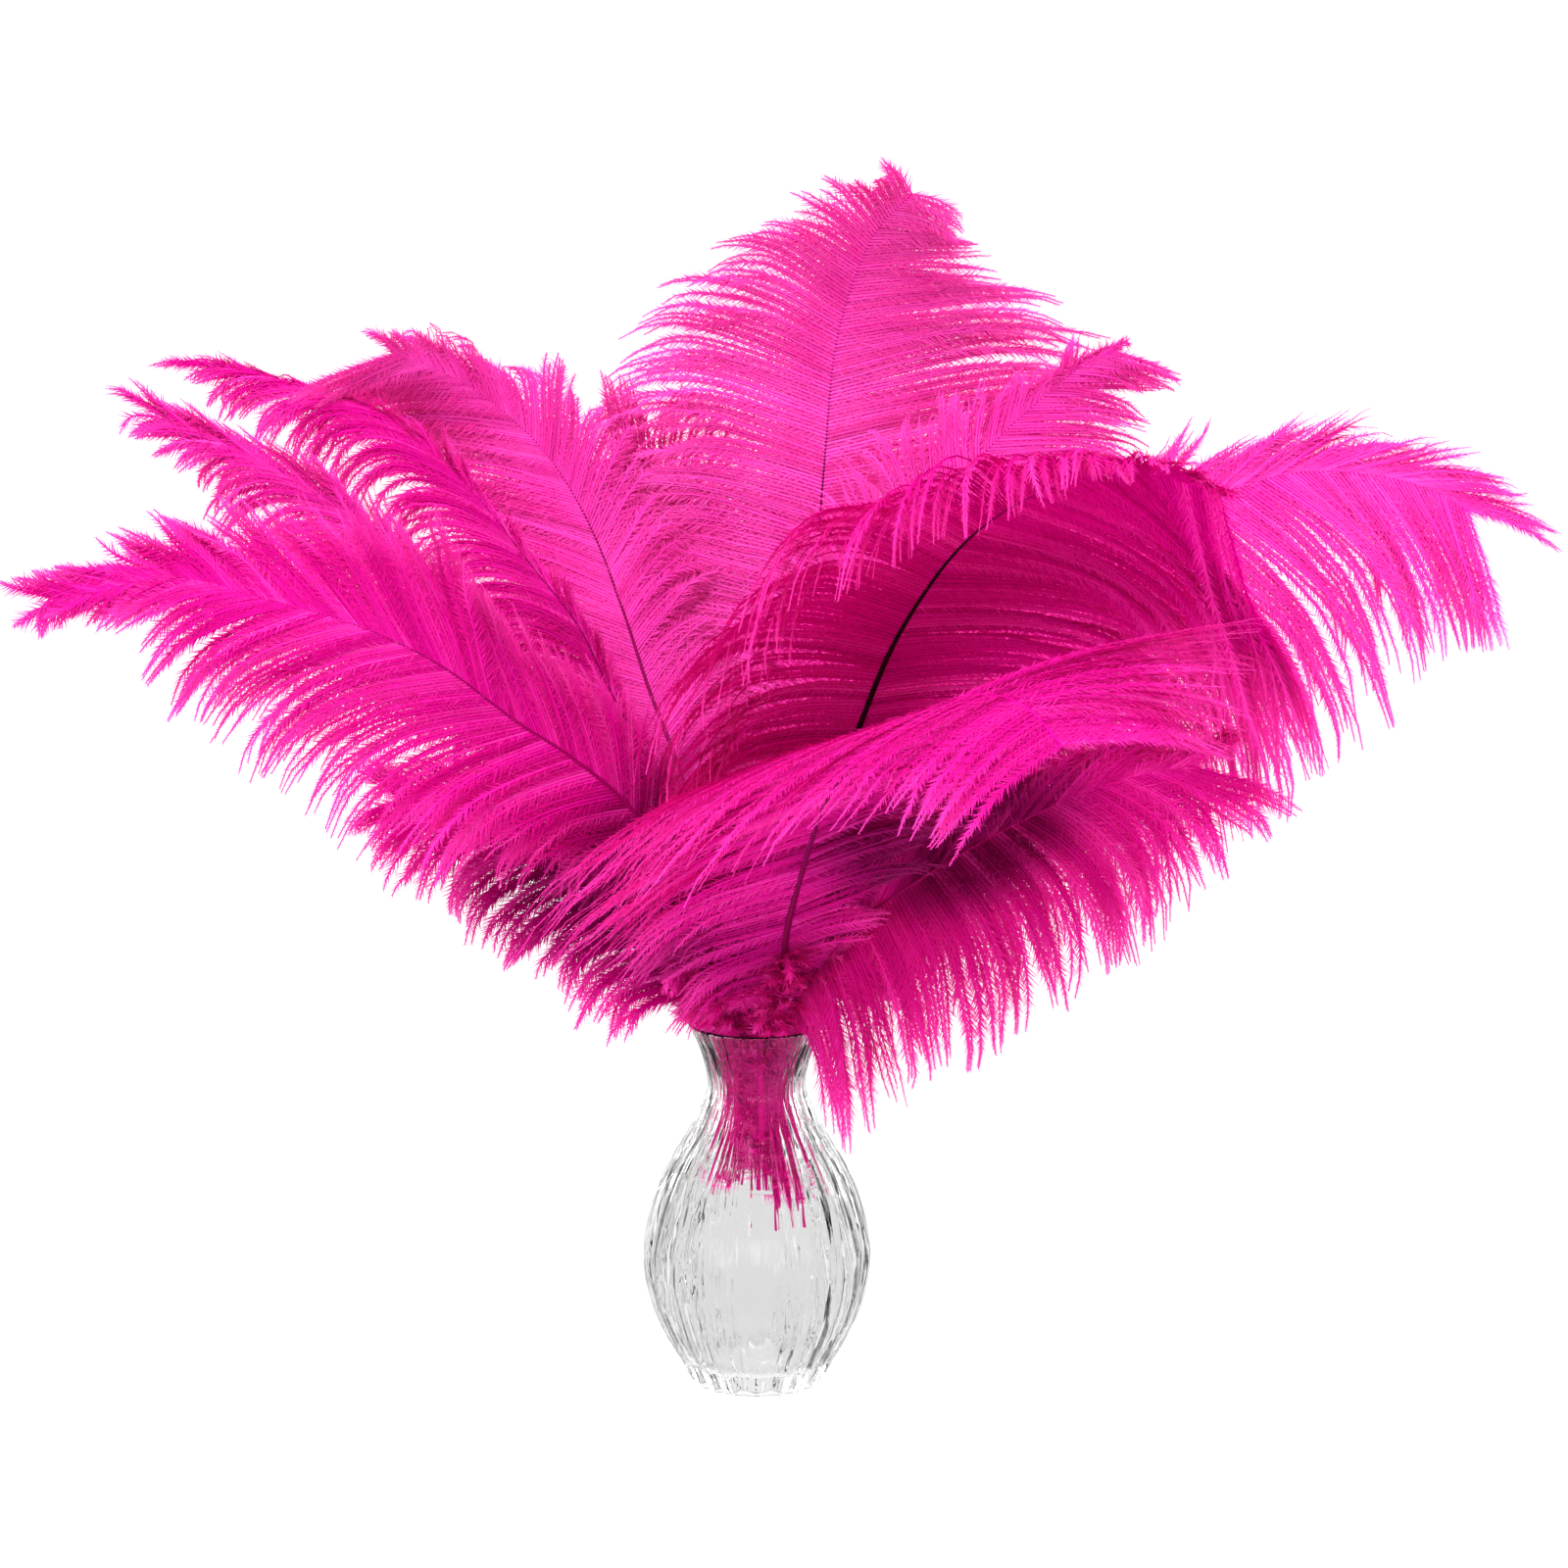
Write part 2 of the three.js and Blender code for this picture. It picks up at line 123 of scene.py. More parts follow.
class Tree:
    """A Geometry Nodes tree in the making, with its named inputs."""

    def __init__(self, name, inputs):
        self.group = bpy.data.node_groups.new(name, "GeometryNodeTree")
        self.nodes = self.group.nodes
        face = self.group.interface
        for label, kind in inputs.items():
            face.new_socket(label, in_out="INPUT", socket_type="NodeSocket" + kind)
        face.new_socket("Geometry", in_out="OUTPUT", socket_type="NodeSocketGeometry")
        self.entry = self.nodes.new("NodeGroupInput")
        self.exit = self.nodes.new("NodeGroupOutput")

    def __getitem__(self, label):
        return Field(self, self.entry.outputs[label])

    def feed(self, slot, value):
        if isinstance(value, Field):
            self.group.links.new(value.socket, slot)
        elif slot.type == "VECTOR" and isinstance(value, (int, float)):
            slot.default_value = (value, value, value)
        else:
            slot.default_value = value

    def run(self, kind, values=None, output=None, **settings):
        node = self.nodes.new(kind)
        for setting, value in settings.items():
            setattr(node, setting, value)
        for label, value in (values or {}).items():
            slots = (slot for slot in node.inputs if slot.name == label and slot.enabled)
            self.feed(next(slots), value)
        shown = [socket for socket in node.outputs if socket.enabled]
        return Field(self, next((socket for socket in shown if socket.name == output), shown[0]))

    def vector(self, x, y, z):
        return self.run("ShaderNodeCombineXYZ", {"X": x, "Y": y, "Z": z})

    def smooth(self, low, high, value):
        ends = {"Value": value, "From Min": low, "From Max": high}
        return self.run("ShaderNodeMapRange", ends, interpolation_type="SMOOTHSTEP")

    def blend(self, share, first, second):
        kind = "VECTOR" if "VECTOR" in (first.socket.type, second.socket.type) else "FLOAT"
        values = {"Factor": share, "A": first, "B": second}
        return self.run("ShaderNodeMix", values, "Result", data_type=kind)

    def noise(self, place, scale, key, output="Fac"):
        """Noise about zero, between -1 and 1."""
        values = {"Vector": place, "W": self["Seed"] * 7.31 + key, "Scale": scale, "Detail": 1.0}
        found = self.run("ShaderNodeTexNoise", values, output, noise_dimensions="4D")
        return (found - 0.5) * 2

    def chance(self, key, identity, low, high):
        """A random number for each identity; each key gives another draw."""
        values = {"Min": low, "Max": high, "ID": identity, "Seed": self["Seed"] + key}
        return self.run("FunctionNodeRandomValue", values, data_type="FLOAT")

    def keep(self, geometry, name, value, kind="FLOAT", domain="POINT"):
        """Stores a value under a name on the geometry."""
        values = {"Geometry": geometry, "Name": name, "Value": value}
        return self.run("GeometryNodeStoreNamedAttribute", values, data_type=kind, domain=domain)

    def kept(self, name, kind="FLOAT"):
        return self.run("GeometryNodeInputNamedAttribute", {"Name": name}, "Attribute", data_type=kind)

    def end(self, geometry):
        self.group.links.new(geometry.socket, self.exit.inputs[0])
        return self.group


def made(blank, tree, values, name):
    """Runs the tree on the blank with these inputs and gives the result as a plain mesh object."""
    grower = blank.modifiers.new("grower", "NODES")
    grower.node_group = tree
    for item in tree.interface.items_tree:
        if item.in_out == "INPUT" and item.name in values:
            grower[item.identifier] = values[item.name]
    depsgraph = bpy.context.evaluated_depsgraph_get()
    mesh = bpy.data.meshes.new_from_object(blank.evaluated_get(depsgraph))
    blank_mesh = blank.data
    bpy.data.objects.remove(blank)
    bpy.data.meshes.remove(blank_mesh)
    mesh.name = name
    piece = bpy.data.objects.new(name, mesh)
    bpy.context.scene.collection.objects.link(piece)
    return piece


def blank_object(name, points, edges, faces):
    mesh = bpy.data.meshes.new(name)
    mesh.from_pydata([tuple(point) for point in points], edges, faces)
    blank = bpy.data.objects.new(name, mesh)
    bpy.context.scene.collection.objects.link(blank)
    return blank


def smooth_radius(height):
    """The vase's outer radius at a height, on a smooth curve through the profile's points."""
    top = len(PROFILE_HEIGHTS) - 1
    i = max(k for k in range(top) if k == 0 or PROFILE_HEIGHTS[k] <= height)
    slopes = []
    for k in (i, i + 1):
        low, high = max(k - 1, 0), min(k + 1, top)
        rise = PROFILE_RADII[high] - PROFILE_RADII[low]
        slopes.append(rise / (PROFILE_HEIGHTS[high] - PROFILE_HEIGHTS[low]))
    span = PROFILE_HEIGHTS[i + 1] - PROFILE_HEIGHTS[i]
    s = (height - PROFILE_HEIGHTS[i]) / span
    start = (2 * s**3 - 3 * s**2 + 1) * PROFILE_RADII[i] + (s**3 - 2 * s**2 + s) * span * slopes[0]
    end = (3 * s**2 - 2 * s**3) * PROFILE_RADII[i + 1] + (s**3 - s**2) * span * slopes[1]
    return start + end


def arc(centre, radius, first, last, steps):
    """Points on a quarter or half circle in the outline's plane, as (radius, height)."""
    turns = [math.radians(first + (last - first) * k / steps) for k in range(steps + 1)]
    return [(centre[0] + radius * math.cos(a), centre[1] + radius * math.sin(a)) for a in turns]


def well_radius(height):
    """The well's radius: the wall has room for the flutes that are pressed in and thins to the lip."""
    share = min(max((height - FLUTE_TOP) / (RIM_HEIGHT - FLUTE_TOP), 0), 1)
    low = share * share * (3 - 2 * share)
    return smooth_radius(height) - (WALL + FLUTE_DEPTH) * (1 - low) - LIP_WALL * low


def vase_outline():
    """The vase's section from the foot's middle round the lip to the well's middle."""
    rows = int((RIM_HEIGHT - FOOT_ROUNDING) / ROW_SPACING)
    rise = RIM_HEIGHT - LIP_WALL / 2 - FOOT_ROUNDING
    heights = [FOOT_ROUNDING + rise * k / rows for k in range(1, rows)]
    foot = arc((PROFILE_RADII[0] - FOOT_ROUNDING, FOOT_ROUNDING), FOOT_ROUNDING, -90, 0, 4)
    outside = foot + [(smooth_radius(height), height) for height in heights]
    lip_middle = (PROFILE_RADII[-1] - LIP_WALL / 2, RIM_HEIGHT - LIP_WALL / 2)
    lip = arc(lip_middle, LIP_WALL / 2, 0, 180, LIP_STEPS)
    well_top = BASE_THICKNESS + WELL_ROUNDING
    inside = [(well_radius(height), height) for height in reversed(heights) if height > well_top]
    corner = (well_radius(well_top) - WELL_ROUNDING, well_top)
    well = arc(corner, WELL_ROUNDING, 0, -90, 6)
    return outside, lip, inside + well


def vase_blank():
    """The smooth vase before its flutes are pressed: rows of points round the axis, and two poles."""
    outside, lip, inside = vase_outline()
    outline = outside + lip + inside
    points = []
    for radius, height in outline:
        for j in range(VASE_COLUMNS):
            angle = 2 * math.pi * j / VASE_COLUMNS
            points.append((radius * math.cos(angle), radius * math.sin(angle), height))
    faces = []
    for i in range(len(outline) - 1):
        for j in range(VASE_COLUMNS):
            k = (j + 1) % VASE_COLUMNS
            low, high = i * VASE_COLUMNS, (i + 1) * VASE_COLUMNS
            faces.append((low + j, low + k, high + k, high + j))
    last = (len(outline) - 1) * VASE_COLUMNS
    foot_middle, well_middle = len(points), len(points) + 1
    points += [(0, 0, 0), (0, 0, outline[-1][1])]
    for j in range(VASE_COLUMNS):
        k = (j + 1) % VASE_COLUMNS
        faces.append((foot_middle, k, j))
        faces.append((well_middle, last + j, last + k))
    blank = blank_object("vase_blank", points, [], faces)
    inner = blank.data.attributes.new("inner", "FLOAT", "POINT")
    outer_count = (len(outside) + LIP_STEPS // 2) * VASE_COLUMNS
    marks = [float(k >= outer_count and k != foot_middle) for k in range(len(points))]
    inner.data.foreach_set("value", marks)
    return blank


def flute_tree():
    """Presses wavy flutes into both walls of the vase and lets the glass ripple a little."""
    tree = Tree("pressed flutes", {
        "Geometry": "Geometry", "Flutes": "Float", "Depth": "Float", "Inner Depth": "Float",
        "Wander": "Float", "Ripple": "Float", "Seed": "Int", "Glass": "Material",
    })
    place = tree.run("GeometryNodeInputPosition")
    x, y, height = place.part("X"), place.part("Y"), place.part("Z")
    angle = y.maths("ARCTAN2", x)
    outwards = (place * (1, 1, 0)).unit()
    inner = tree.kept("inner")
    drift = tree.noise(outwards * DRIFT_ROUND + tree.vector(0, 0, height * DRIFT_UP), 1.0, 3)
    turn = (angle * tree["Flutes"] * 0.5) + drift * tree["Wander"]
    lobe = (turn + inner * INNER_FLUTE_LAG).sine().size()
    pressed = tree.smooth(*FLUTE_FOOT, height) * tree.smooth(FLUTE_TOP, FLUTE_FADE, height)
    depth = tree.blend(inner, tree["Depth"], tree["Inner Depth"])
    grain = outwards * RIPPLE_ROUND + tree.vector(0, 0, height * RIPPLE_UP)
    ripple = tree.noise(grain, 1.0, 11) * tree["Ripple"]
    wide = tree.smooth(0, POLE_FADE, place.maths("LENGTH", output="Value") - height)
    away = (-(-lobe + 1) * depth + ripple) * pressed
    moved = tree.run("GeometryNodeSetPosition", {
        "Geometry": tree["Geometry"], "Offset": outwards * away * wide,
    })
    smooth = tree.run("GeometryNodeSetShadeSmooth", {"Geometry": moved})
    solid = tree.run("GeometryNodeRealizeInstances", {"Geometry": smooth})
    return tree.end(tree.run("GeometryNodeSetMaterial", {"Geometry": solid, "Material": tree["Glass"]}))


class Finish:
    """A material in the making: its nodes, its Principled shader and its output."""

    def __init__(self, name, **values):
        self.material = bpy.data.materials.new(name)
        self.material.use_nodes = True
        self.nodes = self.material.node_tree.nodes
        self.links = self.material.node_tree.links
        self.shader = self.nodes["Principled BSDF"]
        for label, value in values.items():
            self.shader.inputs[label.replace("_", " ")].default_value = value

    def node(self, kind, values=None, **settings):
        node = self.nodes.new(kind)
        for setting, value in settings.items():
            setattr(node, setting, value)
        for label, value in (values or {}).items():
            if isinstance(value, bpy.types.NodeSocket):
                self.links.new(value, node.inputs[label])
            else:
                node.inputs[label].default_value = value
        return node

    def mixed(self, share, first, second):
        """A colour between two others, by a socket or number from 0 to 1."""
        node = self.node("ShaderNodeMix", data_type="RGBA")
        for slot, value in ((0, share), (6, first), (7, second)):
            if isinstance(value, bpy.types.NodeSocket):
                self.links.new(value, node.inputs[slot])
            else:
                node.inputs[slot].default_value = value
        return node.outputs[2]

    def place(self):
        return self.node("ShaderNodeTexCoord").outputs["Object"]

    def stored(self, name):
        """The value that the mesh keeps under a name."""
        return self.node("ShaderNodeAttribute", attribute_name=name).outputs["Fac"]

    def maths(self, operation, *values):
        return self.node("ShaderNodeMath", dict(enumerate(values)), operation=operation).outputs[0]

    def vectors(self, operation, *values, output=0):
        node = self.node("ShaderNodeVectorMath", dict(enumerate(values)), operation=operation)
        return node.outputs[output]

    def ranged(self, value, low=0.0, high=1.0, bottom=0.0, top=1.0, **settings):
        """A value carried from the range low to high over to bottom to top, and held there."""
        ends = {"Value": value, "From Min": low, "From Max": high, "To Min": bottom, "To Max": top}
        return self.node("ShaderNodeMapRange", ends, **settings).outputs[0]

    def grain(self, place, scale, detail):
        values = {"Vector": place, "Scale": scale, "Detail": detail}
        return self.node("ShaderNodeTexNoise", values).outputs["Fac"]

    def bump(self, height, strength, distance):
        values = {"Strength": strength, "Distance": distance, "Height": height}
        self.links.new(self.node("ShaderNodeBump", values).outputs[0], self.shader.inputs["Normal"])


def clear_glass():
    """Soda glass: clear with a grey depth, and drawn into fine upright streaks by the mould."""
    glass = Finish("clear pressed glass", Roughness=0.012, IOR=1.5, Transmission_Weight=1.0)
    glass.shader.inputs["Base Color"].default_value = GLASS_DEPTH
    glass.shader.inputs["Specular Tint"].default_value = GLASS_GLINT
    place = glass.place()
    outwards = glass.vectors("NORMALIZE", glass.vectors("MULTIPLY", place, (1, 1, 0)))
    around = glass.vectors("MULTIPLY", outwards, (STREAKS_ROUND, STREAKS_ROUND, 0))
    drawn = glass.vectors("MULTIPLY_ADD", place, (0, 0, STREAKS_UP), around)
    streaks = glass.grain(drawn, scale=1.0, detail=2.0)
    height = glass.node("ShaderNodeSeparateXYZ", {0: place}).outputs["Z"]
    fluted = glass.ranged(height, low=FLUTE_TOP, high=FLUTE_FADE, bottom=0.35)
    glass.bump(glass.maths("MULTIPLY", streaks, fluted), strength=0.7, distance=0.0032)
    return glass.material


vase = made(vase_blank(), flute_tree(), {
    "Flutes": FLUTES, "Depth": FLUTE_DEPTH, "Inner Depth": 0.6 * MM, "Wander": 1.1, "Ripple": 0.4 * MM,
    "Seed": 4, "Glass": clear_glass(),
}, "bud_vase")
vase.visible_shadow = False
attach(vase, "root")
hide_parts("vase")

# ---- The plumes -------------------------------------------------------------------------------
# Twelve ostrich wing plumes, each grown as one piece: a quill, a tapering shaft and two rows of long
# limp barbs whose fine barbules don't hook together. They were bleached, dyed hot pink and steamed so
# that they curl, and their quills are pushed side by side through the vase's neck.
NECK_HEIGHT, NECK_RING = 98, 9.4
MOUTH_HEIGHT, MOUTH_RING = 124, 12
VANE_START_HEIGHT = 131 * MM
SHAFT_SAMPLES = 120
STEPS = 12
BARB_BEND = 0.3
DROOP_POWER = 1.4
SPREAD_POWER = 1.6
STIFF_FROM = 0.75
TIP_STIFFNESS = 0.5
DOWN_STEPS = 8
TUFT_STRAY = 4.5 * MM
STRAND_STRAY = 1.8 * MM
# Pairs are ranges of random draws or the two ends of a change along a barb.
BARB_LENGTHS = (0.94, 1.06)
SHORTFALL = 0.3
DRIFT_PACE = 11
SPREAD_DRIFT, FACE_DRIFT, DROOP_DRIFT = 0.16, 0.14, 0.2
SPREAD_STRAY = 0.02
SIDES_APART = 40
BUNCH_PACE, BUNCH_STRAY, BUNCH_MARGIN = 0.23, 0.3, 0.004
BUNCH_KINDS_APART = 1000
STRANDS_FORM = (0.0, 0.4)
TUFTS_FORM = (0.6, 1.05)
CLING_RANGE = (0.6, 1.0)
WAVE_SCALE, WISP_SCALE, WISP_SHARE = 34, 90, 0.6
WISP_TUFT_PACE, WISP_BARB_PACE = 0.37, 0.02
LIP_REACH, LIP_CLEARANCE = 0.0255, 0.0015
BARB_TAPER, BARB_TAPER_POWER = 0.92, 0.7
LAST_BARBS, LAST_BARBS_THINNER = (0.97, 1.0), 0.5
BARB_TILT = 0.45
BARB_TONE, STRAND_TONE = 0.35, 0.65
WEB_ARCH = 0.28
BARBULE_ANGLES, BARBULE_LIFT, BARBULE_SAG = (0.35, 0.95), 0.35, 0.12
BARBULES_SHORTEN, SHORTEST_BARBULE = (1.02, 0.68), 0.2
BARBULE_LENGTHS, BARBULE_WIDTHS = (0.6, 1.15), (0.6, 1.0)
DOWN_LEANS, DOWN_LENGTHS, DOWN_DROOPS = (0.3, 1.7), (0.5, 1.1), (0.0, 0.5)
DOWN_PACE, CURL_SCALE, CURL_SIZE = 0.53, 60, 0.0042
DOWN_TURN, DOWN_TAPER, DOWN_WIDTH = 0.8, 0.8, 0.45 * MM
DOWN_GAP_SHARE, DOWN_BARBULE = 0.8, 4.4 * MM
# The room inside the neck, as shares of the rim's height and of the widest bore.
WIDEST_BORE = 0.0235
BORE_ENDS = ((0, 0.55), (1, 0.74))
BORE_BETWEEN = (
    (0.31, 0.93), (0.5, 0.72), (0.64, 0.48), (0.72, 0.41), (0.79, 0.39), (0.86, 0.42), (0.93, 0.55),
)
ROOM_ABOVE_RIM = 3
SHAFT_TAPER_POWER = 0.6
CUT_LENGTH, CUT_NARROWING = 0.03, 0.3
RIDGE_FROM, RIDGE_FULL = 0.85, 1.2
# How much of its cell of the texture map a barb takes, across and along.
CELL_WIDTH, CELL_MARGIN = 0.9, 0.05
CELL_HEIGHT, BARBULE_HEIGHT, CELL_FOOT = 0.97, 0.02, 0.005

# azimuth: the side of the neck the quill is on, in degrees. foot: the distance of its cut end from the
# vase's axis and its height, in millimetres.
# route: the shaft above the mouth, in millimetres. face: the way the vane looks, from base to tip.
# left, right: [barb length in millimetres, spread at the base, at the tip, droop, length left at tip].
# fullness: [share of the barb length at the base, where it is full, where it starts to fall].
# pale: how much paler its barbs are painted, which is painted light: highest on the plumes that catch
# the most light, nil on the most shaded ones. cling: how much its barb tips cling together in tufts.
# down: the height at which its down starts, in millimetres. dark: how near black its shaft is painted,
# partly its dye and partly painted shade on its shaded side.
# fluff: the length of its barbules, quill: the radius of its bare quill, and gap: the spacing of its
# barbs, all in millimetres.
PLUMES = [
    dict(name="front_plume", node="plume_front", azimuth=-80, foot=(8, 68),
         route=[(8, -18, 140), (10, -34, 164), (16, -52, 192), (23, -75, 218), (35, -105, 240),
                (51, -135, 258), (69, -158, 269), (82, -172, 268), (93, -178, 257)],
         face=[(-0.2, -1, 0.1), (0.25, -0.35, -0.9), (-0.2, 0.5, -0.7)],
         left=(126, 108, 92, 0.5, 0.45), right=(106, 60, 68, 0.35, 0.62), fullness=(0.3, 0.6, 0.75),
         pale=0.12, cling=0.6, down=77, dark=0.45, fluff=4.4, quill=1.5, gap=1.45),
    dict(name="big_right_plume", node="plume_big_right", azimuth=-12, foot=(9, 53),
         route=[(14, -10, 165), (25, -18, 203), (36, -28, 238), (47, -40, 266), (65, -58, 296),
                (83, -78, 314), (104, -98, 326), (124, -112, 329), (144, -118, 323)],
         face=[(0.2, -1, 0), (0.4, -0.85, -0.3), (0, -0.85, -0.5)],
         left=(110, 100, 44, 0.95, 0.12), right=(152, 76, 70, 0.96, 0.72), fullness=(0.35, 0.36, 0.5),
         pale=0.0, cling=0.5, down=58, dark=1.0, fluff=4.6, quill=2.1, gap=1.35),
    dict(name="tall_plume", node="plume_centre_tall", azimuth=78, foot=(8, 72),
         route=[(9, 34, 164), (15, 57, 207), (19, 77, 250), (23, 92, 298), (27, 101, 338),
                (33, 102, 360), (41, 99, 378), (53, 94, 391)],
         face=[(0.05, -1, 0.2), (0.1, -0.97, 0.15), (0.1, -0.95, -0.1), (0.1, -0.9, -0.4)],
         left=(85, 84, 68, 0.6, 0.22), right=(112, 84, 62, 0.48, 0.2), fullness=(0.5, 0.3, 0.68),
         pale=0.7, cling=0.15, down=79, dark=0.6, fluff=5, quill=1.3, gap=1.25),
    dict(name="lower_left_plume", node="plume_lower_left", azimuth=232, foot=(9, 70),
         route=[(-23, -14, 163), (-40, -22, 201), (-61, -30, 222), (-77, -36, 234), (-102, -44, 255),
                (-129, -52, 270), (-157, -56, 279), (-184, -58, 286), (-224, -58, 279)],
         face=[(0.3, -0.75, 0.6), (0.1, -0.9, 0.4)],
         left=(82, 56, 10, 0.66, 0.22), right=(63, 44, 28, 0.05, 0.34), fullness=(0.28, 0.46, 0.5),
         pale=0.08, cling=0.6, down=76, dark=0.12, fluff=5, quill=1.2, gap=1.5),
    dict(name="broad_left_plume", node="plume_left_broad", azimuth=135, foot=(8, 72),
         route=[(-16, 22, 167), (-27, 40, 204), (-37, 54, 228), (-46, 66, 253), (-58, 78, 281),
                (-73, 84, 304), (-91, 84, 321), (-107, 78, 332), (-123, 66, 340)],
         face=[(0.1, -1, 0.15), (0, -0.98, 0.2), (0, -0.9, 0.4)],
         left=(74, 62, 26, 0.45, 0.62), right=(42, 60, 32, 0.6, 0.4), fullness=(0.35, 0.36, 0.62),
         pale=0.5, cling=0.4, down=78, dark=0.35, fluff=4.6, quill=1.3, gap=1.35),
    dict(name="far_right_plume", node="plume_far_right", azimuth=15, foot=(10, 64),
         route=[(19, 14, 162), (49, 26, 204), (92, 40, 251), (128, 50, 281), (163, 56, 296),
                (185, 58, 301), (208, 58, 300), (226, 55, 296), (240, 50, 289)],
         face=[(-0.3, -0.8, 0.5), (0.1, -0.8, 0.6)],
         left=(57, 28, 18, 0.25, 0.66), right=(114, 78, 44, 0.92, 0.5), fullness=(0.35, 0.36, 0.55),
         pale=0.4, cling=0.5, down=70, dark=0.2, fluff=4.6, quill=1.3, gap=1.5),
    dict(name="second_left_plume", node="plume_left_second", azimuth=204, foot=(14, 66),
         route=[(-22, -4, 163), (-36, -6, 191), (-55, -8, 214), (-87, -8, 252), (-126, -6, 290),
                (-158, -2, 312), (-192, 2, 327)],
         face=[(0.45, -0.35, 0.8), (0.2, -0.5, 0.85)],
         left=(54, 52, 12, 0.9, 0.4), right=(38, 28, 14, 0.05, 0.8), fullness=(0.4, 0.36, 0.66),
         pale=0.2, cling=0.7, down=68, dark=0.3, fluff=4.6, quill=1.4, gap=1.5),
    dict(name="third_left_plume", node="plume_left_third", azimuth=158, foot=(12, 72),
         route=[(-20, 8, 171), (-33, 18, 202), (-50, 28, 233), (-60, 32, 253), (-75, 36, 272),
                (-99, 42, 301), (-122, 46, 320), (-145, 50, 329), (-179, 54, 338)],
         face=[(0.6, -0.25, 0.6), (0.2, -0.5, 0.85)],
         left=(60, 50, 8, 0.9, 0.42), right=(22, 24, 7, 0.2, 0.7), fullness=(0.4, 0.36, 0.66),
         pale=0.08, cling=0.75, down=77, dark=0.3, fluff=4.6, quill=1.2, gap=1.5),
    dict(name="upper_right_plume", node="plume_upper_right", azimuth=45, foot=(8, 72),
         route=[(14, 26, 166), (26, 46, 209), (46, 64, 257), (73, 76, 299), (96, 80, 322),
                (112, 78, 335), (121, 74, 340)],
         face=[(-0.1, -1, 0.2), (-0.1, -0.9, 0.4)],
         left=(50, 70, 20, 0.5, 0.2), right=(82, 66, 34, 0.5, 0.36), fullness=(0.35, 0.36, 0.55),
         pale=0.45, cling=0.3, down=78, dark=0.6, fluff=3.6, quill=1.3, gap=1.5),
    dict(name="lower_right_plume", node="plume_lower_right", azimuth=-45, foot=(8, 68),
         route=[(16, -16, 143), (32, -28, 164), (57, -40, 185), (85, -50, 204), (113, -56, 218),
                (140, -58, 225)],
         face=[(-0.3, -0.5, 0.8), (0, -0.6, 0.8)],
         left=(60, 50, 26, 0.7, 0.6), right=(73, 80, 34, 1.0, 0.56), fullness=(0.8, 0.15, 0.55),
         pale=0.1, cling=0.6, down=75, dark=0.1, fluff=6.5, quill=1.2, gap=1.5),
    dict(name="low_back_plume", node="plume_lower_back", azimuth=181, foot=(9, 70),
         route=[(-24, 4, 141), (-43, 14, 159), (-70, 22, 177), (-97, 30, 189), (-120, 34, 193)],
         face=[(0.3, -0.6, 0.7), (0.1, -0.7, 0.7)],
         left=(46, 64, 30, 0.8, 0.5), right=(50, 55, 28, 0.5, 0.5), fullness=(0.9, 0.3, 0.7),
         pale=0.0, cling=0.6, down=75, dark=0.1, fluff=6.5, quill=1, gap=1.5),
    dict(name="short_left_plume", node="plume_centre_left", azimuth=108, foot=(8, 72),
         route=[(-7, 36, 164), (-13, 60, 200), (-17, 80, 230), (-21, 94, 254), (-25, 98, 278),
                (-35, 95, 290), (-50, 90, 301)],
         face=[(0.05, -1, 0.1), (0, -0.95, 0.2)],
         left=(54, 66, 58, 0.5, 0.5), right=(60, 66, 58, 0.4, 0.55), fullness=(0.35, 0.36, 0.62),
         pale=0.45, cling=0.4, down=79, dark=0.2, fluff=5, quill=1, gap=1.5),
]


def on_ring(azimuth, radius, height):
    angle = math.radians(azimuth)
    return Vector((radius * math.cos(angle), radius * math.sin(angle), height)) * MM


def knots_of(plume):
    rings = (plume["foot"], (NECK_RING, NECK_HEIGHT), (MOUTH_RING, MOUTH_HEIGHT))
    inside = [on_ring(plume["azimuth"], *ring) for ring in rings]
    return inside + [Vector(point) * MM for point in plume["route"]]


def shaft_points(plume):
    """The shaft's even samples, on the centripetal spline through its knots that the solids use."""
    knots = knots_of(plume)
    knots = [knots[0] * 2 - knots[1]] + knots + [knots[-1] * 2 - knots[-2]]
    fine = []
    for a, b, c, d in zip(knots, knots[1:], knots[2:], knots[3:]):
        gap_a, gap_b, gap_c = ((q - p).length ** 0.5 for p, q in ((a, b), (b, c), (c, d)))
        slope_b = ((b - a) / gap_a - (c - a) / (gap_a + gap_b) + (c - b) / gap_b) * gap_b
        slope_c = ((c - b) / gap_b - (d - b) / (gap_b + gap_c) + (d - c) / gap_c) * gap_b
        fine += interpolate_bezier(b, b + slope_b / 3, c - slope_c / 3, c, 40)[:-1]
    fine.append(knots[-2])
    travelled = [0.0]
    for p, q in zip(fine, fine[1:]):
        travelled.append(travelled[-1] + (q - p).length)
    points = []
    k = 0
    for i in range(SHAFT_SAMPLES + 1):
        goal = travelled[-1] * i / SHAFT_SAMPLES
        while k < len(fine) - 2 and travelled[k + 1] < goal:
            k += 1
        share = (goal - travelled[k]) / (travelled[k + 1] - travelled[k])
        points.append(fine[k].lerp(fine[k + 1], share))
    return points, travelled[-1]


def shaft_blank(plume, points):
    """The shaft as a line of points, each of which knows the way the vane looks there."""
    edges = [(i, i + 1) for i in range(SHAFT_SAMPLES)]
    blank = blank_object(plume["name"] + "_shaft", points, edges, [])
    looks = [Vector(face).normalized() for face in plume["face"]]
    faces = []
    for i in range(SHAFT_SAMPLES + 1):
        along = i / SHAFT_SAMPLES * (len(looks) - 1)
        k = min(int(along), len(looks) - 2)
        faces.extend(looks[k].lerp(looks[k + 1], along - k))
    blank.data.attributes.new("face", "FLOAT_VECTOR", "POINT").data.foreach_set("vector", faces)
    return blank


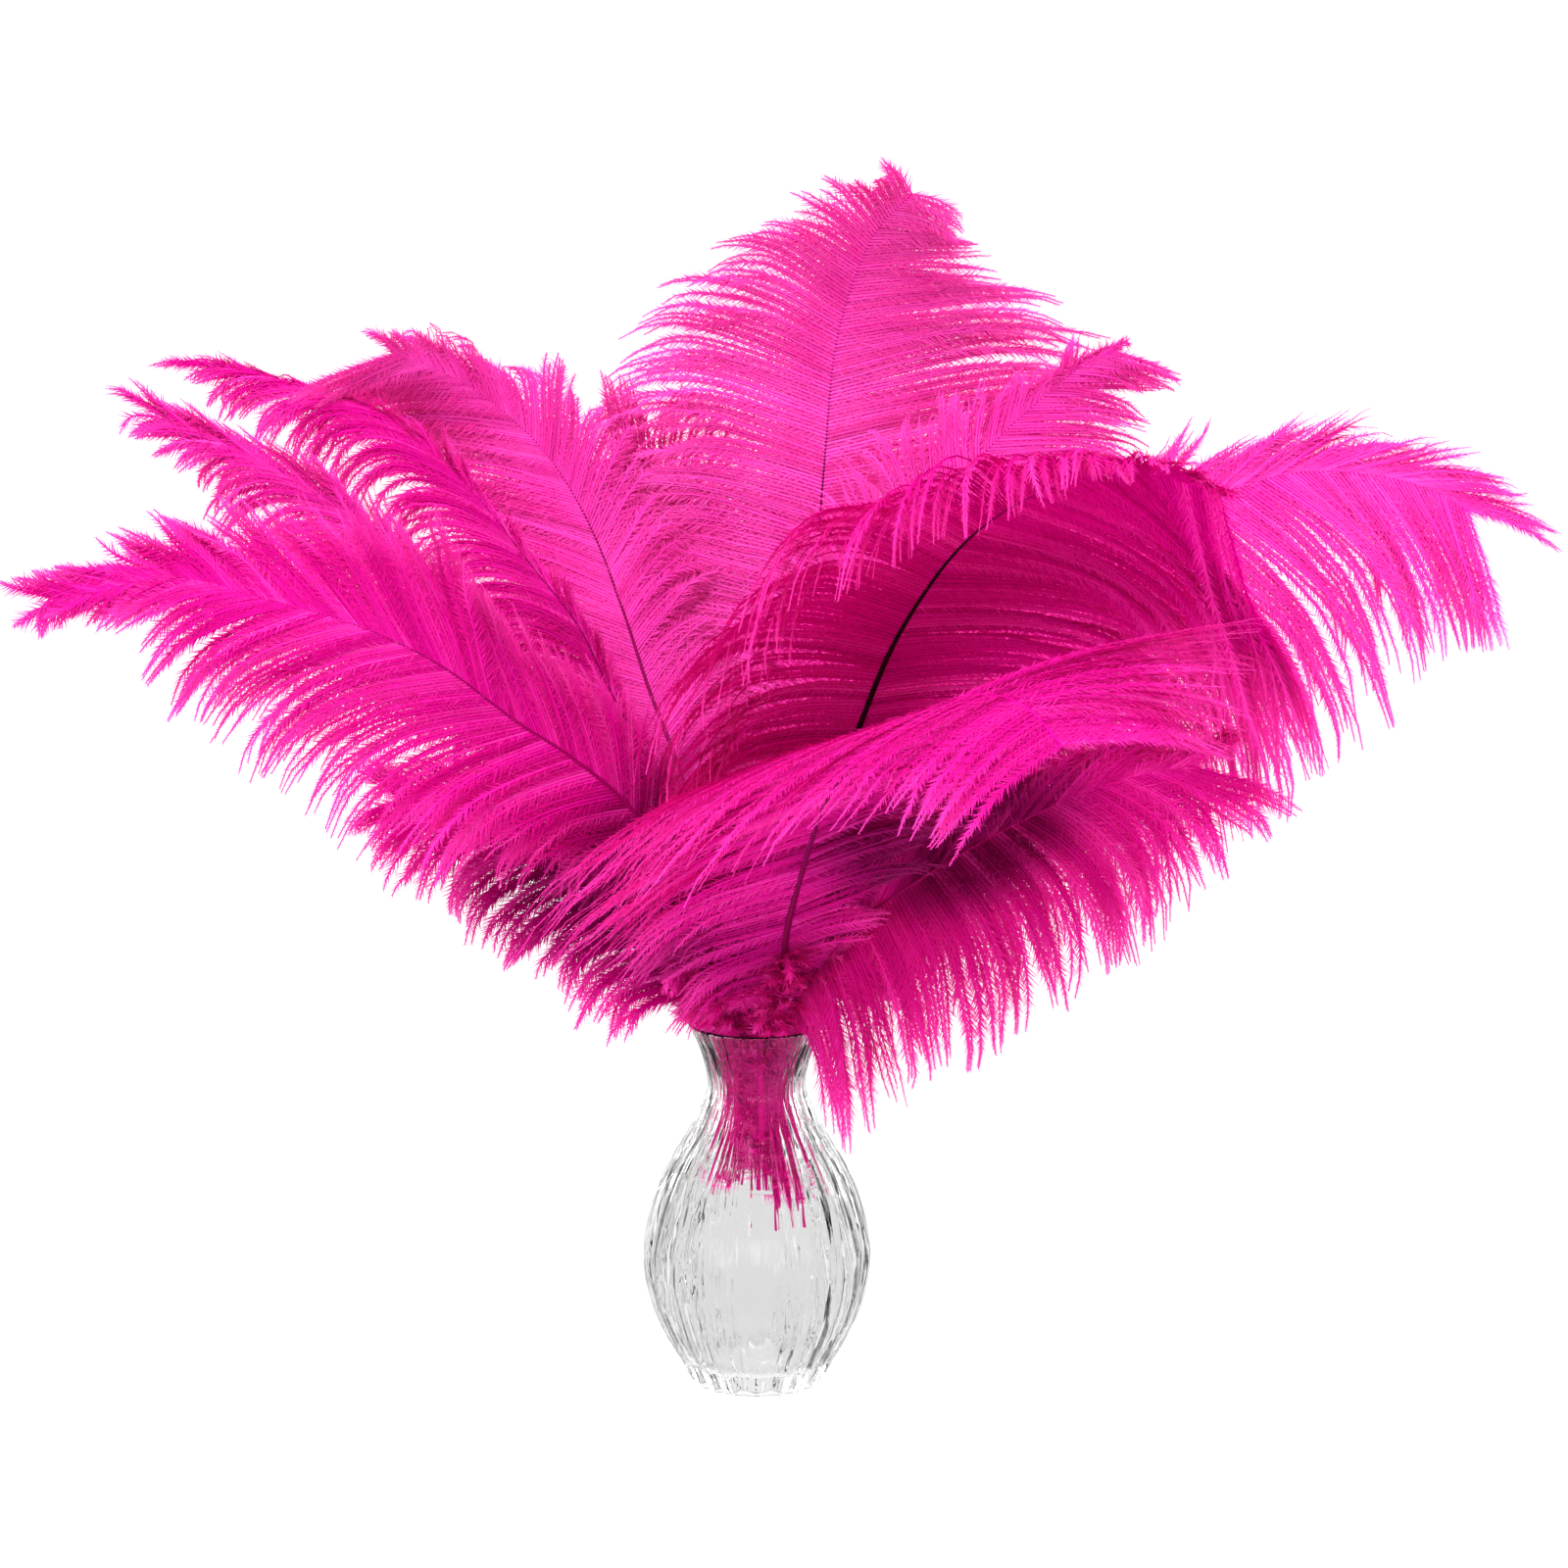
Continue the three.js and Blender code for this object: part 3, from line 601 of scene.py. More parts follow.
def plume_tree():
    """One plume from its shaft: two rows of tufted barbs, loose down round the quill, and barbules."""
    measures = [f"{hand} {what}" for hand in ("Left", "Right")
                for what in ("Reach", "Base Spread", "Tip Spread", "Droop", "Tip Share")]
    measures += [
        "Vane Start", "Base Share", "Full At", "Fall At", "Barb Width", "Strand Size", "Strand Pull",
        "Tuft Size", "Tuft Pull", "Waviness", "Barbule Length", "Barbule Width", "Barbule Gap",
        "Down Start", "Down End", "Down Length", "Quill Radius", "Tip Radius", "Paleness",
        "Shaft Darkness",
    ]
    tree = Tree("ostrich plume", {
        "Geometry": "Geometry", "Barbs": "Int", "Down Barbs": "Int", "Seed": "Int",
        "Vane": "Material", "Shaft": "Material", **dict.fromkeys(measures, "Float"),
    })
    shaft = tree.run("GeometryNodeMeshToCurve", {"Mesh": tree["Geometry"]})
    down = tree.vector(0, 0, -1)

    def shaft_at(factor):
        """The shaft's place, direction and face at a share of its length."""
        values = {"Curves": shaft, "Value": tree.kept("face", "FLOAT_VECTOR"), "Factor": factor}
        place, along, face = (
            tree.run("GeometryNodeSampleCurve", values, output, mode="FACTOR", data_type="FLOAT_VECTOR")
            for output in ("Position", "Tangent", "Value"))
        return place, along, (face - along * face.dot(along)).unit()

    def rows_of(steps):
        """For each point: the number of its barb and its step along that barb."""
        index = tree.run("GeometryNodeInputIndex")
        barb = ((index + 0.5) / (steps + 1)).floor()
        return barb, index - barb * (steps + 1)

    def grown(root, along, start, length, droop, barb, step, steps):
        """Each step's place and heading: a barb leaves along start, bends tipwards and droops."""
        middle = ((step - 0.5) / steps).most(0)
        weight = droop * middle ** DROOP_POWER
        ahead = (start + along * middle * BARB_BEND).unit()
        heading = (ahead * (weight * -1 + 1) + down * weight).unit()
        move = heading * (length / steps) * (step > 0.5)
        total = {"Value": move, "Group ID": barb}
        trail = tree.run("GeometryNodeAccumulateField", total, "Leading", data_type="FLOAT_VECTOR")
        return root + trail, heading

    def vane_path(share, right, identity, barb, step, length_share):
        """A vane barb's path from a share of the vane; the identity decides how it strays."""
        def of_side(what):
            return tree.blend(right, tree["Left " + what], tree["Right " + what])

        place, along, face = shaft_at(tree["Vane Start"] + (tree["Vane Start"] * -1 + 1) * share)
        side = along.cross(face)
        filled = tree.smooth(0, tree["Full At"], share)
        fill = tree["Base Share"] + (tree["Base Share"] * -1 + 1) * filled
        fall = tree.smooth(tree["Fall At"], 1, share) * (of_side("Tip Share") * -1 + 1)
        length = of_side("Reach") * fill * (fall * -1 + 1) * tree.chance(1, identity, *BARB_LENGTHS)
        spread = tree.blend(share ** SPREAD_POWER, of_side("Base Spread"), of_side("Tip Spread"))
        drift = tree.noise(tree.vector(share * DRIFT_PACE, right * SIDES_APART, 0), 1.0, 9, "Color")
        stray = tree.chance(2, identity, -SPREAD_STRAY, SPREAD_STRAY)
        angle = spread + drift.part("X") * SPREAD_DRIFT + stray
        hand = right * 2 - 1
        flat_start = along * angle.cosine() + side * hand * angle.sine()
        start = flat_start + face * drift.part("Y") * FACE_DRIFT
        stiff = tree.smooth(STIFF_FROM, 1, share) * TIP_STIFFNESS
        droop = of_side("Droop") * (stiff * -1 + 1) * (drift.part("Z") * DROOP_DRIFT + 1)
        path, heading = grown(place, along, start, length * length_share, droop, barb, step, STEPS)
        return path, (heading.cross(along) * hand).unit(), heading

    def bunched(station, right, size, key):
        """The bunch that a barb clings to, of about this many neighbours: its number and its share."""
        spot = tree.vector(station * BUNCH_PACE, right * SIDES_APART, key)
        stray = tree.noise(spot, 1.0, key) * size * BUNCH_STRAY
        bunch = ((station + stray) / size).floor()
        share = ((bunch + 0.5) * size / tree["Barbs"]).most(BUNCH_MARGIN).least(1 - BUNCH_MARGIN)
        return bunch * 2 + right + key * BUNCH_KINDS_APART, share

    def ribboned(points, barb, place, lie, reach, width, tone):
        """Strings the points into barbs and gives each its narrow arched web."""
        for name, value in (("barb", barb), ("reach", reach), ("tone", tone)):
            points = tree.keep(points, name, value)
        points = tree.keep(points, "lie", lie, "FLOAT_VECTOR")
        points = tree.keep(points, "wide", width)
        points = tree.run("GeometryNodeSetPosition", {"Geometry": points, "Position": place})
        group = {"Points": points, "Curve Group ID": tree.kept("barb"), "Weight": tree.kept("reach")}
        barbs = tree.run("GeometryNodePointsToCurves", group)
        tangent = tree.run("GeometryNodeInputTangent")
        across = tangent.cross(tree.kept("lie", "FLOAT_VECTOR")).unit()
        turn = tree.run("GeometryNodeSetCurveNormal", {"Curve": barbs}, mode="FREE")
        tree.feed(turn.socket.node.inputs["Normal"], across)
        line = tree.run("GeometryNodeCurvePrimitiveLine", {"Start": (-0.5, 0, 0), "End": (0.5, 0, 0)})
        bent = tree.run("GeometryNodeResampleCurve", {"Curve": line, "Count": 3})
        middle = tree.run("GeometryNodeInputPosition").part("X").size() * -2 + 1
        arched = {"Geometry": bent, "Offset": tree.vector(0, middle * -WEB_ARCH, 0)}
        profile = tree.run("GeometryNodeSetPosition", arched)
        spot = tree.run("GeometryNodeSplineParameter", output="Factor")
        profile = tree.keep(profile, "across", spot)
        swept = {"Curve": turn, "Profile Curve": profile, "Scale": tree.kept("wide")}
        return turn, tree.run("GeometryNodeCurveToMesh", swept)

    def barbuled(barbs, gap, length):
        """One fine barbule at each gap along the barbs, on alternate sides, as a narrow triangle."""
        spots = tree.run("GeometryNodeCurveToPoints", {"Curve": barbs, "Length": gap}, mode="LENGTH")
        source = spots.socket.node
        tangent = Field(tree, source.outputs["Tangent"])
        points = tree.keep(spots, "way", tangent, "FLOAT_VECTOR")
        index = tree.run("GeometryNodeInputIndex")
        way = tree.kept("way", "FLOAT_VECTOR")
        lie = tree.kept("lie", "FLOAT_VECTOR")
        half = ((index * 0.5).floor() * 2 - index) * 2 + 1
        angle = tree.chance(21, index, *BARBULE_ANGLES)
        lift = tree.chance(22, index, -BARBULE_LIFT, BARBULE_LIFT)
        point = way * angle.cosine() + way.cross(lie).unit() * half * angle.sine()
        point = point + lie * lift + down * BARBULE_SAG
        short = tree.smooth(*BARBULES_SHORTEN, tree.kept("reach"))
        short = short * (1 - SHORTEST_BARBULE) + SHORTEST_BARBULE
        long = short * length * tree.chance(23, index, *BARBULE_LENGTHS)
        thick = tree["Barbule Width"] * tree.chance(24, index, *BARBULE_WIDTHS) * (short * 0.5 + 0.5)
        needle = tree.run("GeometryNodeMeshCircle", {"Vertices": 3, "Radius": 1.0}, fill_type="NGON")
        corner = tree.run("GeometryNodeInputIndex")
        tip = (corner + 0.0) > 1.5
        foot = (corner - 0.5) * (tip * -1 + 1)
        needle = tree.keep(needle, "across", foot * 0.5 + 0.5)
        needle = tree.keep(needle, "rise", tip)
        pointed = {"Geometry": needle, "Position": tree.vector(foot, tip, 0)}
        needle = tree.run("GeometryNodeSetPosition", pointed)
        turn = tree.run("FunctionNodeAxesToRotation", {"Primary Axis": point, "Secondary Axis": lie},
                        primary_axis="Y", secondary_axis="Z")
        needles = tree.run("GeometryNodeInstanceOnPoints", {
            "Points": points, "Instance": needle, "Rotation": turn, "Scale": tree.vector(thick, long, 1),
        })
        return tree.run("GeometryNodeRealizeInstances", {"Geometry": needles})

    # The vane: barbs alternate between the left and the right of the shaft.
    barb, step = rows_of(STEPS)
    station = (barb * 0.5 + 0.25).floor()
    right = barb - station * 2
    share = (station + 0.5) / tree["Barbs"]
    strand, strand_share = bunched(station, right, tree["Strand Size"], 5)
    tuft, tuft_share = bunched(station, right, tree["Tuft Size"], 6)
    shortfall = tree.chance(7, barb, 0, 1)
    length_share = shortfall * shortfall * -SHORTFALL + 1
    own, own_lie, heading = vane_path(share, right, tuft, barb, step, length_share)
    strand_path, _, _ = vane_path(strand_share, right, tuft, barb, step, length_share)
    tuft_path, _, _ = vane_path(tuft_share, right, tuft, barb, step, length_share)
    reach = step / STEPS
    place = tree.blend(tree["Strand Pull"] * tree.smooth(*STRANDS_FORM, reach), own, strand_path)
    cling = tree["Tuft Pull"] * tree.smooth(*TUFTS_FORM, reach) * tree.chance(14, barb, *CLING_RANGE)
    place = tree.blend(cling, place, tuft_path)
    aside = heading.cross(own_lie).unit()
    ends = reach * reach * reach
    place = place + own_lie * tree.chance(8, tuft, -1, 1) * ends * TUFT_STRAY
    place = place + aside * tree.chance(16, tuft, -1, 1) * ends * TUFT_STRAY
    place = place + own_lie * tree.chance(15, strand, -1, 1) * reach * STRAND_STRAY
    place = place + own_lie * tree.chance(9, barb, -1, 1) * reach * reach * STRAND_STRAY
    wave = tree.noise(place * WAVE_SCALE, 1.0, 13, "Color")
    place = place + wave * tree["Waviness"] * reach
    strayed = tree.vector(tuft * WISP_TUFT_PACE, barb * WISP_BARB_PACE, 0)
    wisp = tree.noise(place * WISP_SCALE + strayed, 1.0, 17, "Color")
    place = place + wisp * tree["Waviness"] * WISP_SHARE * reach * reach
    axis_distance = (place * (1, 1, 0)).maths("LENGTH", output="Value")
    over_lip = (axis_distance * -1 + LIP_REACH) > 0
    lowest = over_lip * (RIM_HEIGHT + LIP_CLEARANCE)
    place = tree.vector(place.part("X"), place.part("Y"), place.part("Z").most(lowest))
    taper = (reach * -BARB_TAPER + 1).most(0) ** BARB_TAPER_POWER
    last = tree.smooth(*LAST_BARBS, share)
    width = tree["Barb Width"] * taper * (last * -LAST_BARBS_THINNER + 1)
    tilt = tree.chance(10, barb, -BARB_TILT, BARB_TILT)
    lie = (own_lie + heading.cross(own_lie) * tilt).unit()
    tone = tree.chance(11, barb, 0, 1) * BARB_TONE + tree.chance(12, strand, 0, 1) * STRAND_TONE
    vane_points = tree.run("GeometryNodePoints", {"Count": tree["Barbs"] * 2 * (STEPS + 1)})
    barbs, webs = ribboned(vane_points, barb, place, lie, reach, width, tone)
    fluff = barbuled(barbs, tree["Barbule Gap"], tree["Barbule Length"])

    # The down: short limp barbs all round the quill, matted inside the neck and loose above the lip.
    barb, step = rows_of(DOWN_STEPS)
    reach = step / DOWN_STEPS
    factor = tree.blend(tree.chance(31, barb, 0, 1), tree["Down Start"], tree["Down End"])
    root, along, face = shaft_at(factor)
    side = along.cross(face)
    turn = tree.chance(32, barb, 0, 2 * math.pi)
    lean = tree.chance(33, barb, *DOWN_LEANS)
    start = along * lean.cosine() + (side * turn.cosine() + face * turn.sine()) * lean.sine()
    length = tree["Down Length"] * tree.chance(34, barb, *DOWN_LENGTHS)
    droop = tree.chance(35, barb, *DOWN_DROOPS)
    path, heading = grown(root, along, start, length, droop, barb, step, DOWN_STEPS)
    curl = tree.noise(path * CURL_SCALE + tree.vector(barb * DOWN_PACE, 0, 0), 1.0, 41, "Color")
    path = path + curl * CURL_SIZE * reach
    height = path.part("Z")
    bore = tree.run("ShaderNodeFloatCurve", {"Value": height / RIM_HEIGHT})
    line = bore.socket.node.mapping.curves[0]
    for spot, end in zip(line.points, BORE_ENDS):
        spot.location = end
    for share_of_height, share_of_bore in BORE_BETWEEN:
        line.points.new(share_of_height, share_of_bore)
    for spot in line.points:
        spot.handle_type = "VECTOR"
    bore.socket.node.mapping.update()
    room = bore * WIDEST_BORE + (height - RIM_HEIGHT).most(0) * ROOM_ABOVE_RIM
    out = (path * (1, 1, 0)).maths("LENGTH", output="Value").most(0.0001)
    squeeze = (room / out).least(1)
    place = path * tree.vector(squeeze, squeeze, 1)
    lie = (heading.cross(side).unit() + face * tree.chance(36, barb, -DOWN_TURN, DOWN_TURN)).unit()
    down_tone = tree.chance(37, barb, 0, 1)
    down_points = tree.run("GeometryNodePoints", {"Count": tree["Down Barbs"] * (DOWN_STEPS + 1)})
    down_barb = barb + tree["Barbs"] * 2
    thin = (reach * -DOWN_TAPER + 1) * DOWN_WIDTH
    fine, down_webs = ribboned(down_points, down_barb, place, lie, reach, thin, down_tone)
    down_fluff = barbuled(fine, tree["Barbule Gap"] * DOWN_GAP_SHARE, DOWN_BARBULE)

    soft = tree.run("GeometryNodeJoinGeometry")
    joint = soft.socket.node.inputs[0]
    for geometry in (down_fluff, down_webs, fluff, webs):
        tree.group.links.new(geometry.socket, joint)
    soft = tree.run("GeometryNodeSetMaterial", {"Geometry": soft, "Material": tree["Vane"]})

    # The quill and shaft: a tapering tube with a blunt cut end.
    along = tree.run("GeometryNodeSplineParameter", output="Factor")
    past = tree.smooth(tree["Vane Start"], 1, along)
    taper = tree.blend(past ** SHAFT_TAPER_POWER, tree["Quill Radius"], tree["Tip Radius"])
    cut = tree.smooth(0, CUT_LENGTH, along) * CUT_NARROWING + (1 - CUT_NARROWING)
    ring = tree.run("GeometryNodeCurvePrimitiveCircle", {"Resolution": 8, "Radius": 1.0})
    ring = tree.keep(ring, "across", tree.run("GeometryNodeSplineParameter", output="Factor"))
    stem = tree.keep(shaft, "reach", along)
    ridge = tree.smooth(tree["Vane Start"] * RIDGE_FROM, tree["Vane Start"] * RIDGE_FULL, along)
    stem = tree.keep(stem, "tone", ridge)
    stem = tree.keep(stem, "barb", tree["Barbs"] * 2 + tree["Down Barbs"] + 1)
    swept = {"Curve": stem, "Profile Curve": ring, "Scale": taper * cut, "Fill Caps": True}
    stem = tree.run("GeometryNodeCurveToMesh", swept)
    stem = tree.run("GeometryNodeSetMaterial", {"Geometry": stem, "Material": tree["Shaft"]})

    whole = tree.run("GeometryNodeJoinGeometry")
    for geometry in (stem, soft):
        tree.group.links.new(geometry.socket, whole.socket.node.inputs[0])
    columns = tree["Barbs"] * 2 + tree["Down Barbs"] + 3
    column = (tree.kept("barb") + tree.kept("across") * CELL_WIDTH + CELL_MARGIN) / columns
    row = tree.kept("reach") * CELL_HEIGHT + tree.kept("rise") * BARBULE_HEIGHT + CELL_FOOT
    whole = tree.keep(whole, "OFBake", tree.vector(column, row, 0), "FLOAT2", "CORNER")
    whole = tree.keep(whole, "pale", tree["Paleness"])
    whole = tree.keep(whole, "dark", tree["Shaft Darkness"])
    whole = tree.run("GeometryNodeSetShadeSmooth", {"Geometry": whole})
    return tree.end(tree.run("GeometryNodeRealizeInstances", {"Geometry": whole}))


DYE = (0.8, 0.0, 0.39, 1)
# The deep end of the barbs' random tone, which lies mostly on their edges as painted shade.
EDGE_SHADE_AND_DEEP_DYE = (0.28, 0.0, 0.11, 1)
# Painted highlight pink for the barbs' ridges, also used for the painted paleness of the lit plumes.
PALE_AND_HIGHLIGHT_PINK = (0.95, 0.17, 0.62, 1)
TIP_PALE_AND_BACKLIT = (1.0, 0.15, 0.6, 1)
DYE_GLOW = (0.85, 0.0, 0.36, 1)
# Painted shade: the near black put where the bunch shades itself.
PAINTED_SHADE_DARK = (0.08, 0.0, 0.028, 1)
QUILL_DYES = ((0.35, 0.001, 0.13, 1), (0.62, 0.01, 0.27, 1))
RIDGE_BLACKS = ((0.02, 0.0, 0.008, 1), (0.06, 0.0, 0.02, 1))
RIDGE_PINK = (0.36, 0.0, 0.15, 1)
RIDGE_HIGHLIGHT_SHARE, BRIGHT_POWER, LIT_THROUGH = 0.8, 3.0, 0.22
# Where shade is painted into the barbs' colour, as the middles and half sizes of ellipsoids in metres:
# the bunch's heart above the neck, the hollow low at the right and the roots of the barbs low at the
# left.
PAINTED_SHADE_PLACES = (
    ((-0.02, 0.008, 0.178), (0.105, 0.062, 0.052)),
    ((0.07, -0.045, 0.198), (0.08, 0.034, 0.034)),
    ((-0.052, -0.03, 0.166), (0.055, 0.034, 0.03)),
)


def dyed_and_light_painted_vane():
    """Dyed barbs with painted light: a painted highlight on each ridge, painted shade at the edges, thin
    tips painted paler, the lit plumes painted paler, painted shade in the bunch's heart, and lit
    through.
    """
    vane = Finish("dyed plume barbs with painted light", Roughness=0.5, Specular_IOR_Level=0.02)
    tone, reach, across, pale = (vane.stored(name) for name in ("tone", "reach", "across", "pale"))
    # Painted highlight along the middle of each barb and painted shade along its edges, by this ridge
    # mask.
    ridge = vane.maths("ABSOLUTE", vane.maths("SUBTRACT", across, 0.5))
    ridge = vane.ranged(ridge, low=0.34, high=0.06)
    place = vane.place()
    edge_tone_and_shade = vane.mixed(tone, EDGE_SHADE_AND_DEEP_DYE, DYE)
    strand = vane.mixed(vane.maths("POWER", tone, BRIGHT_POWER), DYE, PALE_AND_HIGHLIGHT_PINK)
    colour = vane.mixed(vane.maths("MULTIPLY", ridge, RIDGE_HIGHLIGHT_SHARE), edge_tone_and_shade, strand)
    # Paler towards the thin tips: partly the thinner dye, partly painted light shining through them.
    colour = vane.mixed(vane.ranged(reach, low=0.6, high=1.05, top=0.75), colour, TIP_PALE_AND_BACKLIT)
    # Painted light: the plumes that catch the most light are painted paler, in patches, most on the
    # ridges.
    patchy = vane.ranged(vane.grain(place, scale=45.0, detail=2.0), bottom=0.5, top=1.4)
    highlight_crest = vane.ranged(ridge, bottom=0.3, top=1.35)
    pale_share = vane.maths("MULTIPLY", vane.maths("MULTIPLY", pale, patchy), highlight_crest)
    colour = vane.mixed(pale_share, colour, PALE_AND_HIGHLIGHT_PINK)
    # Painted shade: the colour darkens to near black inside each ellipsoid, less on the paler barbs.
    shades = []
    for middle, size in PAINTED_SHADE_PLACES:
        away = vane.vectors("DIVIDE", vane.vectors("SUBTRACT", place, middle), size)
        away = vane.vectors("LENGTH", away, output="Value")
        shades.append(vane.ranged(away, low=1.0, high=0.4, top=0.82, interpolation_type="SMOOTHSTEP"))
    painted_shade = shades[0]
    for shade in shades[1:]:
        painted_shade = vane.maths("MAXIMUM", painted_shade, shade)
    painted_shade = vane.maths("MULTIPLY", painted_shade, vane.ranged(tone, bottom=1.0, top=0.55))
    colour = vane.mixed(painted_shade, colour, PAINTED_SHADE_DARK)
    vane.links.new(colour, vane.shader.inputs["Base Color"])
    vane.links.new(vane.ranged(tone, bottom=0.42, top=0.62), vane.shader.inputs["Roughness"])
    # The light through the barbs is darkened by the same painted shade.
    glow = vane.mixed(painted_shade, DYE_GLOW, PAINTED_SHADE_DARK)
    through = vane.node("ShaderNodeBsdfTranslucent", {"Color": glow}).outputs[0]
    both = {0: LIT_THROUGH, 1: vane.shader.outputs[0], 2: through}
    both = vane.node("ShaderNodeMixShader", both).outputs[0]
    vane.links.new(both, vane.nodes["Material Output"].inputs["Surface"])
    return vane.material


def dyed_and_shade_painted_shaft():
    """The horn takes the dye: a pink bare quill, a pink to near black ridge whose black is partly
    painted shade, and a pink young tip.
    """
    shaft = Finish("dyed plume shaft with painted shade", Roughness=0.45, Specular_IOR_Level=0.2)
    tone, dark, along = (shaft.stored(name) for name in ("tone", "dark", "reach"))
    grain = shaft.grain(shaft.place(), scale=220.0, detail=3.0)
    quill = shaft.mixed(grain, *QUILL_DYES)
    # The near black of the ridge is partly painted shade, the shade on the shaft's far side.
    ridge = shaft.mixed(dark, RIDGE_PINK, shaft.mixed(grain, *RIDGE_BLACKS))
    colour = shaft.mixed(tone, quill, ridge)
    colour = shaft.mixed(shaft.ranged(along, low=0.7, high=1.0), colour, DYE)
    shaft.links.new(colour, shaft.shader.inputs["Base Color"])
    shaft.bump(grain, strength=0.2, distance=0.0002)
    return shaft.material


tree = plume_tree()
vane_finish = dyed_and_light_painted_vane()
shaft_finish = dyed_and_shade_painted_shaft()
for number, plume in enumerate(PLUMES):
    points, shaft_length = shaft_points(plume)
    vane_start = next(i for i, p in enumerate(points) if p.z > VANE_START_HEIGHT) / SHAFT_SAMPLES
    down_start = next(i for i, p in enumerate(points) if p.z > plume["down"] * MM) / SHAFT_SAMPLES
    vane_length = shaft_length * (1 - vane_start)
    values = {
        "Barbs": round(vane_length / (plume["gap"] * MM)), "Vane Start": vane_start,
        "Barb Width": 1.7 * MM, "Strand Size": 2.2, "Strand Pull": 0.3,
        "Tuft Size": 5.5, "Tuft Pull": plume["cling"], "Waviness": 3.0 * MM,
        "Barbule Length": plume["fluff"] * MM, "Barbule Width": 0.6 * MM, "Barbule Gap": 0.46 * MM,
        "Down Barbs": 170, "Down Start": down_start, "Down End": vane_start * 1.42,
        "Down Length": 21 * MM, "Quill Radius": plume["quill"] * MM, "Tip Radius": 0.28 * MM,
        "Paleness": plume["pale"], "Shaft Darkness": plume["dark"], "Seed": number + 1,
        "Vane": vane_finish, "Shaft": shaft_finish,
    }
    values.update(zip(("Base Share", "Full At", "Fall At"), plume["fullness"]))
    for hand in ("left", "right"):
        reach, base, tip, droop, tip_share = plume[hand]
        title = hand.capitalize()
        values[title + " Reach"] = reach * MM
        values[title + " Base Spread"] = math.radians(base)
        values[title + " Tip Spread"] = math.radians(tip)
        values[title + " Droop"] = droop
        values[title + " Tip Share"] = tip_share
    piece = made(shaft_blank(plume, points), tree, values, plume["name"])
    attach(piece, "root")
    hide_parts(plume["node"])

# ---- The floor, the lights and the camera --------------------------------------------------------
# A plain white floor that turns up into a white wall all round, under a broad soft light from above
# the front left. A low panel lifts the front, and four narrow upright strips draw lines on the glass.
ROOM_RADIUS, WALL_HEIGHT, ROOM_SIDES = 7.0, 3.5, 48
TABLE_GREY = (0.05, 0.05, 0.05, 1)
WHITE = (1, 1, 1, 1)
TABLE_GLOW, WORLD_GLOW = 0.63, 0.32
OVERHEAD_ENERGY, OVERHEAD_ANGLE = 2.7, math.radians(50)
OVERHEAD_PLACE, OVERHEAD_AIM = (-0.35, -0.6, 1.6), (0, 0, 0.2)
STRIP_SIZE, STRIP_ENERGY, STRIP_AIM = (0.06, 1.1), 3, (0, 0, 0.15)
STRIPS = {
    "left strip": (-1.1, -0.7, 0.35), "right strip": (1.1, -0.6, 0.4),
    "back left strip": (-0.6, 0.8, 0.5), "back right strip": (0.6, 0.8, 0.5),
}
PANEL_SIZE, PANEL_ENERGY = (0.7, 0.12), 1.2
PANEL_PLACE, PANEL_AIM = (0.05, -0.75, 0.1), (0, 0, 0.13)

floor_points = []
for height in (0, WALL_HEIGHT):
    for k in range(ROOM_SIDES):
        turn = 2 * math.pi * k / ROOM_SIDES
        floor_points.append((ROOM_RADIUS * math.cos(turn), ROOM_RADIUS * math.sin(turn), height))
floor_faces = [tuple(range(ROOM_SIDES))]
for k in range(ROOM_SIDES):
    following = (k + 1) % ROOM_SIDES
    floor_faces.append((following, k, ROOM_SIDES + k, ROOM_SIDES + following))
floor = blank_object("floor", floor_points, [], floor_faces)
table = Finish("white table", Roughness=0.9)
table.shader.inputs["Base Color"].default_value = TABLE_GREY
table.shader.inputs["Emission Color"].default_value = WHITE
table.shader.inputs["Emission Strength"].default_value = TABLE_GLOW
floor.data.materials.append(table.material)


